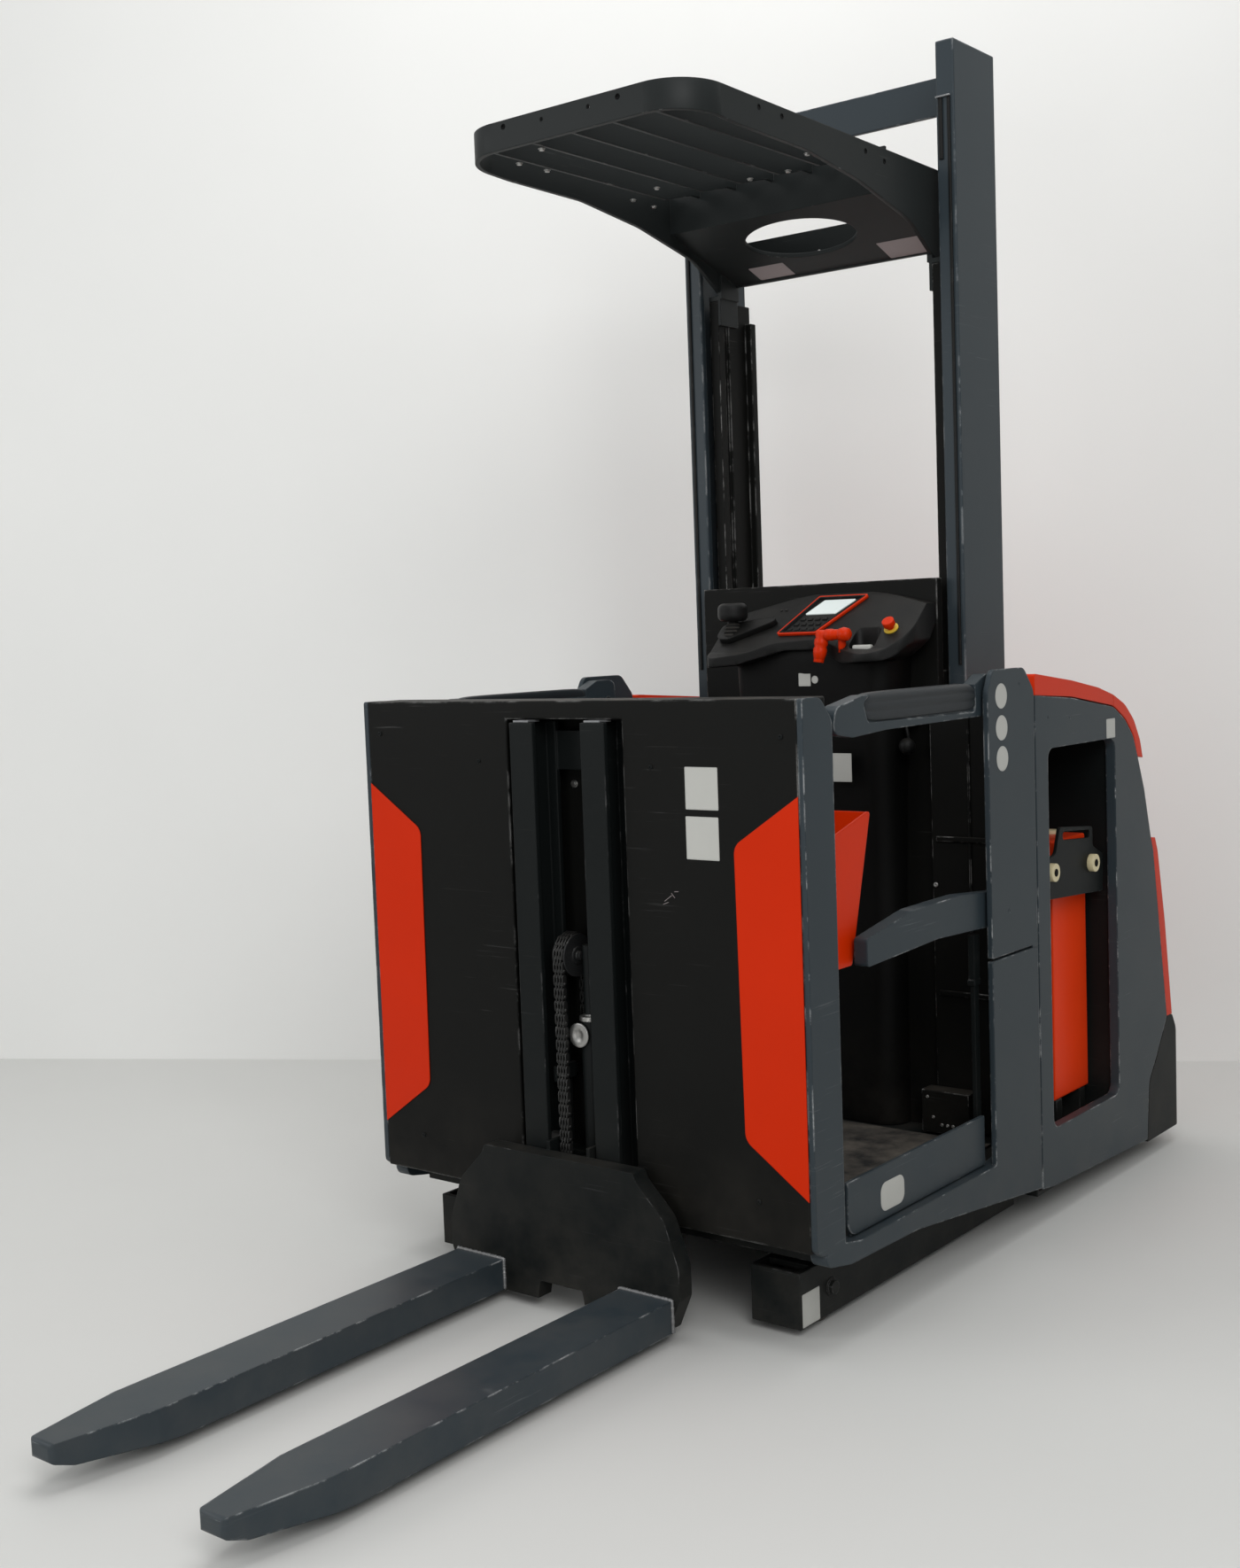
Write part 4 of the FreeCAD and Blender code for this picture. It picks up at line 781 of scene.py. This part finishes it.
chain_wheel = build_piece(
    "chain_wheel", lambda work: turned_part(work, WHEEL_RINGS, 40, (-43, WHEEL_Y, WHEEL_Z), RIGHT),
    "cast_metal", "cab", smooth=35)
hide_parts("fork_chain")
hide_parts("fork_chain")
print("chain from", chain_path[0][2], "to", chain_path[-1][2])

# %% [markdown]
# A weld bead is a row of overlapping ripples of molten metal. Seen close, each ripple is a flat
# drop that leans on the one before. So a bead is one flat drop, repeated along the seam at about
# half its length, with a little random change of size. The seams are simple polylines. A round
# profile swept along them would be lighter, but it would look like a smooth cord.

# %% Geometry Nodes tree: weld bead along a seam
bead_on_seam, start, end = new_tree("bead_on_seam", [
    ("Drop", "Object", None), ("Spacing", "Float", 0.0026), ("Smallest", "Float", 0.8),
    ("Largest", "Float", 1.15), ("Seed", "Int", 2)])
ripples, along_seam = along_edges(bead_on_seam, start, "Spacing")
uneven_size = add_node(bead_on_seam, "FunctionNodeRandomValue", (-450, -350), data_type="FLOAT")
feed_at(uneven_size, {2: start.outputs["Smallest"], 3: start.outputs["Largest"],
                      "Seed": start.outputs["Seed"]})
scatter(bead_on_seam, start, end, ripples, "Drop", Rotation=along_seam, Scale=uneven_size.outputs[1])


def drop_shape(work):
    """A flat drop of weld metal, thin along the seam."""
    bmesh.ops.create_icosphere(work, subdivisions=1, radius=0.0045)
    bmesh.ops.scale(work, verts=work.verts, vec=(1.0, 1.0, 0.62))


def weld_seams(name, seams, inputs, material, body, slot=None):
    """Weld beads along polylines of drawing points."""
    corners, edges = [], []
    for seam in seams:
        first = len(corners)
        corners += seam
        edges += [(n, n + 1) for n in range(first, len(corners) - 1)]
    grow(name, plain_mesh(name + "_seams", corners, edges), bead_on_seam,
         {"Drop": templates["weld_drop"], **inputs}, material, body, slot, smooth=80)


add_template("weld_drop", drop_shape)
frame_seams = [[(side * (HALF - 3.4), 22, 236), (side * (HALF - 3.4), 100, 235)] for side in (-1, 1)]
fork_seams = [[(side * x, -73.5, z) for x, z in ((152, 26), (152, 87), (281, 87), (281, 26))]
              for side in (-1, 1)]
weld_seams("frame_welds", frame_seams, {"Smallest": 0.7, "Largest": 0.9, "Seed": 5}, "grey_paint", "cab")
weld_seams("fork_welds", fork_seams, {"Seed": 2}, "bead_metal", "fork_carriage_body", "dark_paint")

# %% [markdown]
# Two armrests are the only soft pieces of the truck: moulded foam with a skin, a shallow channel
# on top and rounded ends. Nothing in them is sewn or pulled tight, so a cloth simulation would add
# only noise. A better way is the mould's own: a cross section that is carried along the bar,
# shrinks at both ends, and is smoothed by a Subdivision Surface modifier. The CAD pads fill the
# same room, and the soft ones take their places.

# %% Armrest pads
PAD_SECTION = [(516.0, 0.36), (516.0, 0.93), (519.0, 0.99), (524.0, 1.0), (528.5, 0.96), (533.0, 1.0),
               (539.5, 0.98), (544.6, 0.9), (547.4, 0.76), (545.2, 0.69), (545.2, 0.66), (547.6, 0.58),
               (547.6, 0.44), (545.4, 0.37), (545.4, 0.34), (547.4, 0.26), (547.0, 0.1), (544.6, 0.0),
               (542.4, 0.02), (542.2, 0.36)]
PAD_STATIONS = [(250, 0.62, 0.3), (254, 0.84, 0.16), (266, 0.95, 0.05), (300, 1.0, 0.0), (420, 1.015, 0.0),
                (560, 1.01, 0.0), (660, 1.0, 0.0), (692, 0.96, 0.02), (700, 0.86, 0.1), (701.5, 0.7, 0.25)]
PAD_LOW, PAD_HIGH, PAD_MIDDLE = 1174.0, 1231.5, 533.0


def pad_shape(work, side):
    """Carries the pad's section along the gate bar, by rows of y, reach and lift."""
    loops = []
    for y, reach, lift in PAD_STATIONS:
        narrow = min(1.0, 0.55 + 0.45 * reach)
        loop = []
        for x, part in PAD_SECTION:
            z = PAD_LOW + (PAD_HIGH - PAD_LOW) * (lift + (min(reach, 1.0) - lift) * part)
            loop.append(work.verts.new(at(side * (PAD_MIDDLE + (x - PAD_MIDDLE) * narrow), y, z)))
        loops.append(loop)
    stitch(work, loops)


for side, word in ((1, "right"), (-1, "left")):
    pad = build_piece("armrest_" + word, lambda work, side=side: pad_shape(work, side), "soft_pad",
                      "upper_gate_" + word + "_body")
    pad.data.shade_smooth()
    crown = pad.modifiers.new("smooth_skin", "SUBSURF")
    crown.levels = crown.render_levels = 2
    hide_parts("arm_pad_" + word)
print("armrests from", PAD_STATIONS[0][0], "to", PAD_STATIONS[-1][0])

# %% [markdown]
# The truck carries several stickers and plates. They stay blank here, since no text belongs on the
# part. A sticker is a thin rounded sheet, a few tenths of a millimetre thick, that lies just off
# its surface. The helper takes the centre, the two directions of the surface, and the size.

# %% Blank stickers
WALL, SIDE = (RIGHT, UP), ((0, 1, 0), UP)
GUARD_SLOPE = 0.346
GUARD_PLATE = ((-1, 0, 0), Vector((0, 1, -GUARD_SLOPE)))
PLATE_Z = 2306 - GUARD_SLOPE * 223
MARKS = [(250, 852, 35, 22), (262, 858, -50, 12), (244, 842, 20, 14), (270, 866, 5, 10)]


def sticker(work, centre, across, upward, width, height, corner, thick=0.4):
    """A rounded sheet whose back lies 0.1 mm off the surface."""
    u, v = Vector(across).normalized(), Vector(upward).normalized()
    out = u.cross(v)
    rim = []
    for sign_u, sign_v, first in ((1, 1, 0), (-1, 1, 90), (-1, -1, 180), (1, -1, 270)):
        for step in range(7):
            angle = math.radians(first + 15 * step)
            rim.append(((width / 2 - corner) * sign_u + corner * math.cos(angle),
                        (height / 2 - corner) * sign_v + corner * math.sin(angle)))
    stitch(work, [[work.verts.new(at(*centre) + (u * a + v * b + out * lift) / 1000) for a, b in rim]
                  for lift in (0.1, thick)])


def all_stickers(rows):
    """A build function for a list of stickers."""
    return lambda work: [sticker(work, *row) for row in rows]


def wall_marks(work):
    """Four short pale scratches at the right of the recess."""
    for x, z, degrees, length in MARKS:
        turn = math.radians(degrees)
        sticker(work, (x, 0, z), (math.cos(turn), 0, math.sin(turn)), (-math.sin(turn), 0, math.cos(turn)),
                length, 0.9, 0.4, 0.25)


cab_stickers = [((337, 0, 1065.5), *WALL, 76, 81, 2), ((336, 0, 971), *WALL, 76, 82, 2),
                ((HALF, 781, 1199), *SIDE, 54, 54, 26.9), ((HALF, 781, 1131), *SIDE, 54, 54, 26.9),
                ((HALF, 782, 1065), *SIDE, 54, 54, 26.9)]
chassis_stickers = [((HALF, 1348, 1094), *SIDE, 50, 46, 3), ((473, 116, 54), *SIDE, 62, 66, 3)]
guard_plates = [((229, 1040, PLATE_Z), *GUARD_PLATE, 142, 74, 3),
                ((-155, 1040, PLATE_Z), *GUARD_PLATE, 100, 60, 3)]
LABEL = "label_white"
build_piece("cab_stickers", all_stickers(cab_stickers), LABEL, "cab", "cream_plastic")
build_piece("chassis_stickers", all_stickers(chassis_stickers), LABEL, "chassis", "cream_plastic")
build_piece("kick_plate_sticker", all_stickers([((546, 310, 240), *SIDE, 92, 58, 20)]), LABEL, "cab",
            "cream_plastic")
build_piece("guard_plates", all_stickers(guard_plates), "label_faded", "cab", "cream_plastic")
build_piece("wall_marks", wall_marks, "label_faded", "cab", "black_paint")
print("stickers", len(cab_stickers) + len(chassis_stickers) + 1 + len(guard_plates))

# %% [markdown]
# Small brackets, stops and levers give the dark places their life. Each is a block with its edges
# rounded off by a bevel, which is quick to write and looks like cast or folded metal. One helper
# makes such a block between two drawing corners.

# %% Small blocks and rods
RAIL_X = 92.5


def block(work, low, high, bevel=1.5):
    """A block between two drawing corners with rounded edges."""
    first, last = at(*low), at(*high)
    made = bmesh.ops.create_cube(work, size=1.0)
    bmesh.ops.scale(work, verts=made["verts"], vec=last - first)
    bmesh.ops.translate(work, verts=made["verts"], vec=(first + last) / 2)
    edges = {edge for vert in made["verts"] for edge in vert.link_edges}
    bmesh.ops.bevel(work, geom=list(edges), offset=bevel / 1000, segments=2, profile=0.6, affect="EDGES")


def rod(work, first, last, radius, sides=16):
    """A rod between two drawing points with a small chamfer at both ends."""
    axis = at(*last) - at(*first)
    length = axis.length * 1000
    rings = [(radius - 1, 0), (radius, 1), (radius, length - 1), (radius - 1, length)]
    turned_part(work, rings, sides, first, axis.normalized())


def rail_caps(work):
    """Worn bright stops on the tops of the two fork rails."""
    for x in (-RAIL_X, RAIL_X):
        block(work, (x - 20, -21, 1190.2), (x + 20, 16, 1194.5), 1.0)


def recess_fittings(work):
    """Bracket of the chain anchor, hose clip and the two stops at the recess foot."""
    block(work, (-86, 34, 462), (-50, 70, 480), 2)
    block(work, (-58, -2, 455), (-48, 60, 487), 2)
    block(work, (-152, 84, 268), (-128, 91.6, 316), 2)
    rod(work, (-140, 60, 296), (-140, 92, 296), 6)
    block(work, (128, 84, 296), (148, 91.6, 346), 2)
    rod(work, (138, 62, 318), (138, 92, 318), 6)


def cylinder_end(work):
    """The bright gland at the top of the lift cylinder, and the round cap in front of it."""
    turned_part(work, [(20.5, 0), (23, 1), (23, 9), (22, 10), (15, 11), (13, 14), (12.4, 14)], 28,
                (18, 32, 584), UP)
    turned_part(work, [(23, 0), (25, 1), (25, 4), (22, 5), (12, 5), (10, 3.5)], 28, (8, 8, 557), FRONT)


build_piece("rail_caps", rail_caps, "bead_metal", "cab", "bright_steel")
build_piece("recess_fittings", recess_fittings, "dark_paint", "cab")
build_piece("cylinder_gland", cylinder_end, "bright_steel", "cab", smooth=40)

# %% [markdown]
# The back of the cab is a plain dark panel in the drawing. On the real truck it shows a ball knob
# on a short rod, two narrow ledges where the panels meet, and a pedal box near the floor with a
# few bright screws. They are small, but from the gate they are what the eye rests on.

# %% Fittings inside the cab
WING_FACE = 919.7
FLOOR_TOP = 192.6


def ball_knob(work):
    """Black ball on its rod, at the right of the console column."""
    ball = [(19 * math.sin(math.radians(a)), -19 * math.cos(math.radians(a))) for a in range(30, 171, 14)]
    turned_part(work, [(4, -24), (9, -22)] + ball, 20, (272, 893, 1081), FRONT)
    rod(work, (272, 906, 1084), (262, 906, 1136), 4)
    block(work, (254, 902, 1128), (282, 949.6, 1146), 2)


def cab_ledges(work):
    """Ledges and a vertical joint strip on the wing panels."""
    for near_x, far_x, y, low, high, bevel in ((330, 508, 913, 862, 874, 1.5), (330, 508, 913, 506, 518, 1.5),
                                               (410, 416, 917, 210, 1180, 1.0)):
        for side in (-1, 1):
            left, right = sorted((side * near_x, side * far_x))
            block(work, (left, y, low), (right, WING_FACE, high), bevel)


def pedal_box(work):
    """Box with the pedal's hinge, at the foot of the back wall."""
    block(work, (300, 872, FLOOR_TOP), (420, 919.6, 292), 3)
    block(work, (-420, 890, FLOOR_TOP), (-300, 919.6, 250), 3)


build_piece("ball_knob", ball_knob, "dark_plastic", "cab", smooth=50)
build_piece("cab_ledges", cab_ledges, "black_paint", "cab")
build_piece("pedal_box", pedal_box, "black_paint", "cab")
pedal_screws = [((x, 872, z), FRONT, 4)
                for x, z in ((316, 276), (330, 230), (352, 214), (366, 214), (380, 214))]
fasten("pedal_screws", pedal_screws, "socket_screw", 14, "bright_steel", "cab")

# %% [markdown]
# The console gets what the hands touch: a rubber bellows under the steering knob, a ribbed grip, a
# pale pad in the hand rest, two small lamps and a dark tray for the display, and two blank tags on
# the column. The bellows is the lathe again, with a zigzag profile. What lies on the console's
# slope is placed by one helper. The slope rises 0.88 mm for each millimetre to the rear.

# %% Console details
RISE = 0.88
LOW_EDGE_Y, LOW_EDGE_Z = 798, 1307
SLOPE = math.atan(RISE)
SLOPE_OUT = Vector((0, -math.sin(SLOPE), math.cos(SLOPE)))
DISPLAY_Y = 837
FRAME_OUTER = [(-38, 0), (71, 0), (163, 130), (26, 130)]
FRAME_INNER = [(-26, 7), (67, 7), (150, 123), (30, 123)]
TRAY_LEVELS = [(FRAME_INNER, 0.1, 2.4), (FRAME_INNER, 0.1, 7.3), (FRAME_OUTER, 4.0, 7.3),
               (FRAME_OUTER, 4.0, 7.9), (FRAME_INNER, 1.2, 7.9), (FRAME_INNER, 1.2, 2.9)]


def on_slope(x, y, lift):
    """A drawing point on the console's face, lifted off it by some millimetres."""
    z = LOW_EDGE_Z + RISE * (y - LOW_EDGE_Y)
    return (x + SLOPE_OUT.x * lift, y + SLOPE_OUT.y * lift, z + SLOPE_OUT.z * lift)


def console_fittings(work):
    """Bellows under the knob and lamps beside the display."""
    turned_part(work, [(24, -6), (25, 0), (19, 4), (23, 8), (17, 12), (21, 16), (15, 20), (18, 24), (13, 28)],
                24, (-165, 842, 1348), UP)
    for x, y in ((-52, 905), (-66, 905)):
        turned_part(work, [(3.4, 0), (3.4, 1.6), (2.4, 2.4)], 12, on_slope(x, y, 0.2), SLOPE_OUT)


def inset(corners, margin, chamfer=2.0):
    """The outline of a panel drawn in by a margin, with its corners cut."""
    outline = []
    for index, row in enumerate(corners):
        corner = Vector(row)
        back = (Vector(corners[index - 1]) - corner).normalized()
        ahead = (Vector(corners[(index + 1) % len(corners)]) - corner).normalized()
        inner = corner + (back + ahead) * margin / abs(back.cross(ahead))
        outline += [inner + back * chamfer, inner + ahead * chamfer]
    return outline


def display_tray(work):
    """A dark tray that lines the red frame of the display and covers the inner half of its rim."""
    loops = []
    for corners, margin, height in TRAY_LEVELS:
        places = [on_slope(u, DISPLAY_Y + v * math.cos(SLOPE), height) for u, v in inset(corners, margin)]
        loops.append([work.verts.new(at(*place)) for place in places])
    stitch(work, loops)


def roller_hubs(work):
    """Dark hubs in the pale rollers of the battery locks."""
    for side in (-1, 1):
        for y, z in ((1068, 782), (1287, 778)):
            turned_part(work, [(9, 0), (9, 1), (7, 1.6), (6, 1.0)], 16, (side * 551.2, y, z), (side, 0, 0))


def hand_grip(work):
    """Ribbed grip over the leg of the hand control and the rounded head of its bar."""
    grip_rings = [(10, -8), (14, -4), (16, 4), (13.5, 10), (16, 16), (16, 24), (13.5, 30), (16, 36),
                  (15.5, 46), (12.5, 58), (8, 62)]
    turned_part(work, grip_rings, 20, (114, 796, 1344), Vector((-0.12, -0.1, -0.988)).normalized())
    turned_part(work, [(8, -16), (14, -11), (16.5, 0), (14, 11), (8, 16)], 20, (172, 796, 1341), RIGHT)
    turned_part(work, [(8, -14), (13.5, -8), (13.5, 8), (8, 14)], 20, (134, 796, 1341), RIGHT)


def hand_rest_pad(work):
    """Pale pad in the front of the hand rest's hollow."""
    block(work, (187, 803, 1294.6), (236, 816, 1316), 4)


tags = [((36, 838, 1243), *WALL, 33, 40, 2), ((64, 838, 1238), *WALL, 18, 18, 8.9),
        ((128, 837, 1034), *WALL, 60, 66, 2)]
build_piece("console_fittings", console_fittings, "mat_rubber", "cab", smooth=60)
build_piece("display_tray", display_tray, "dark_plastic", "cab")
build_piece("hand_grip", hand_grip, "red_plastic", "cab", smooth=60)
build_piece("roller_hubs", roller_hubs, "hole_shade_and_hub_dark", "chassis", "dark_paint")
build_piece("hand_rest_pad", hand_rest_pad, LABEL, "cab", "cream_plastic")
build_piece("console_tags", all_stickers(tags), LABEL, "cab", "cream_plastic")
print("console details at", round(math.degrees(SLOPE), 1), "degrees")

# %% [markdown]
# The uprights of the mast have two slide strips on their front face, held by a small bright bracket
# at the top. They are plain bars, so the block helper is enough.

# %% Mast slide strips
UPRIGHT_FACE = 984.8
STRIP_ROWS = [(339, 349, 980.8, 2392, 2526), (361, 368, 980.8, 1262, 2526)]
BRACKET_ROWS = [(333, 369, 978.5, 2527, 2531)]


def both_uprights(rows):
    """Blocks on the front faces of the two uprights, from rows of x, y and z limits."""
    def build(work):
        for side in (-1, 1):
            for near_x, far_x, front_y, low_z, high_z in rows:
                left, right = sorted((side * near_x, side * far_x))
                block(work, (left, front_y, low_z), (right, UPRIGHT_FACE, high_z), 1.0)
    return build


build_piece("slide_strips", both_uprights(STRIP_ROWS), "dark_plastic", "chassis")
build_piece("strip_brackets", both_uprights(BRACKET_ROWS), "bead_metal", "chassis", "bright_steel")
print("slide strips end at", STRIP_ROWS[0][-1])

# %% [markdown]
# Behind, the dark upper cover lets the motor breathe through louvres. Three columns of slats at an
# even pitch could be an Array modifier for each column. One small tree does all three at once: it
# copies each base point by a count, moves each copy by its own number times a step, and puts a
# slat on it. The step leans with the cover, so that every slat sits on the sloped face.

# %% Geometry Nodes tree: slats in a line
slats_in_line, start, end = new_tree("slats_in_line", [
    ("Count", "Int", 7), ("Step", "Vector", None), ("Slat", "Object", None)])
columns = add_node(slats_in_line, "GeometryNodeDuplicateElements", (-700, 100), domain="POINT")
feed(columns, Geometry=start.outputs["Geometry"], Amount=start.outputs["Count"])
distance = add_node(slats_in_line, "ShaderNodeVectorMath", (-450, -150), operation="SCALE")
feed(distance, Vector=start.outputs["Step"], Scale=columns.outputs["Duplicate Index"])
shifted = add_node(slats_in_line, "GeometryNodeSetPosition", (-200, 100))
feed(shifted, Geometry=columns.outputs["Geometry"], Offset=distance.outputs["Vector"])
scatter(slats_in_line, start, end, shifted.outputs["Geometry"], "Slat")

# %% Louvres of the rear upper cover
COVER_LEAN = 0.337
COVER_Y, COVER_Z = 1578.3, 840
LOUVRE_PITCH, LOUVRE_LOW = 0.015, 836
SLAT_HALF, SLAT_HEIGHT, SLAT_PROUD, SLAT_SUNK, SLAT_END = 0.125, 0.008, 0.005, 0.002, 0.006


def slat_shape(work):
    """A pressed louvre: a wedge whose lower edge stands proud of the cover."""
    section = [(-SLAT_SUNK, SLAT_HEIGHT), (0.001, SLAT_HEIGHT), (SLAT_PROUD, 0.0015), (SLAT_PROUD, 0.0),
               (-SLAT_SUNK, 0.0)]
    lean = [(out - COVER_LEAN * high, high) for out, high in section]
    flat = [(min(out, 0.0), high) for out, high in lean]
    stitch(work, [[work.verts.new((x, out, high)) for out, high in outline] for x, outline in (
        (-SLAT_HALF, flat), (-SLAT_HALF + SLAT_END, lean), (SLAT_HALF - SLAT_END, lean), (SLAT_HALF, flat))])


add_template("louvre_slat", slat_shape)
lowest_y = COVER_Y + COVER_LEAN * (COVER_Z - LOUVRE_LOW)
louvre_base = plain_mesh("louvre_base", [(x, lowest_y, LOUVRE_LOW) for x in (-300, 0, 300)])
grow("rear_louvres", louvre_base, slats_in_line,
     {"Count": 7, "Step": (0.0, -COVER_LEAN * LOUVRE_PITCH, LOUVRE_PITCH), "Slat": templates["louvre_slat"]},
     "dark_paint", "chassis", smooth=20)

# %% Clear the templates away
for template in templates.values():
    bpy.data.objects.remove(template)

# %% [markdown]
# The truck was photographed in a bare hall: a pale floor, a pale wall behind it, and soft light
# from above. A plane of 30 m is the floor, and a second one stands where the wall's foot line was
# measured. Both stay plain, since they aren't part of the truck. From
# behind, the wall would hide the truck, so its back side is transparent, like a one-way screen.

# %% Floor and back wall
WALL_HEIGHT = Vector((0, 0, 6))


def stage_material(name, colour, rough):
    """A quiet matt surface that varies a little."""
    material = bpy.data.materials.new(name)
    material.use_nodes = True
    tree = material.node_tree
    cloud = noise(tree, (-500, 0), object_place(tree, (-700, 0)), Scale=1.3, Detail=4.0)
    low = tuple(value * 0.97 for value in colour) + (1,)
    high = tuple(min(1, value * 1.03) for value in colour) + (1,)
    feed(tree.nodes["Principled BSDF"], Base_Color=mix_colour(tree, (-250, 0), cloud, low, high),
         Roughness=rough)
    return material


def stage_plane(name, corners, material):
    """A flat piece of the surroundings."""
    mesh = bpy.data.meshes.new(name)
    mesh.from_pydata([Vector(corner) for corner in corners], [], [range(len(corners))])
    mesh.materials.append(material)
    plane = add_object(name, mesh)


def see_through_back(material):
    """Makes a material vanish where it is seen from behind."""
    tree = material.node_tree
    side = add_node(tree, "ShaderNodeNewGeometry", (0, 400))
    clear = add_node(tree, "ShaderNodeBsdfTransparent", (0, -400))
    choice = add_node(tree, "ShaderNodeMixShader", (400, 300))
    feed_at(choice, {"Fac": side.outputs["Backfacing"],
                     1: tree.nodes["Principled BSDF"].outputs["BSDF"], 2: clear.outputs["BSDF"]})
    feed(tree.nodes["Material Output"], Surface=choice.outputs["Shader"])
    return material


stage_plane("hall_floor", [(-15, -15, 0), (15, -15, 0), (15, 15, 0), (-15, 15, 0)],
            stage_material("pale_floor", (0.6, 0.6, 0.58), 0.6))
foot_a, foot_b = Vector((-2.028, 0.952, 0)), Vector((0.388, 2.301, 0))
along = (foot_b - foot_a).normalized()
wall_left, wall_right = foot_a - along * 8, foot_b + along * 8
stage_plane("hall_wall", [wall_left, wall_right, wall_right + WALL_HEIGHT, wall_left + WALL_HEIGHT],
            see_through_back(stage_material("pale_wall", (0.8, 0.8, 0.78), 0.8)))
print("hall wall runs at", round(math.degrees(math.atan2(along.y, along.x)), 1), "degrees")

# %% [markdown]
# Four large area lamps give the light of a studio: a key from the camera's right, a broad fill
# from the left, one overhead, and one low from the front so that the recess doesn't drown. A pale
# world fills the rest. They are kept at a level where a colour renders about as it is written.

# %% Lamps and world
LAMPS = {
    "key": ((3.6, -3.2, 3.6), (0, 0, 1.1), 2.6, 120),
    "fill": ((-3.4, -3.6, 2.8), (0, 0, 1.1), 3.0, 60),
    "top": ((0.2, 0.2, 5.0), (0, 0, 0), 3.4, 95),
    "low_front": ((0.8, -4.6, 0.9), (0, 0, 0.8), 2.0, 25),
}
for name, (spot, target, size, watts) in LAMPS.items():
    lamp = bpy.data.lights.new(name, "AREA")
    lamp.size = size
    lamp.energy = watts
    lamp_object = add_object(name, lamp)
    lamp_object.location = spot
    lamp_object.rotation_euler = (Vector(target) - Vector(spot)).to_track_quat("-Z", "Y").to_euler()
world = bpy.data.worlds.new("pale_hall")
world.use_nodes = True
bpy.context.scene.world = world
feed(world.node_tree.nodes["Background"], Color=(0.92, 0.94, 0.96, 1), Strength=0.4)
bpy.context.scene.view_settings.view_transform = "Standard"
print("lamps", len(bpy.data.lights))
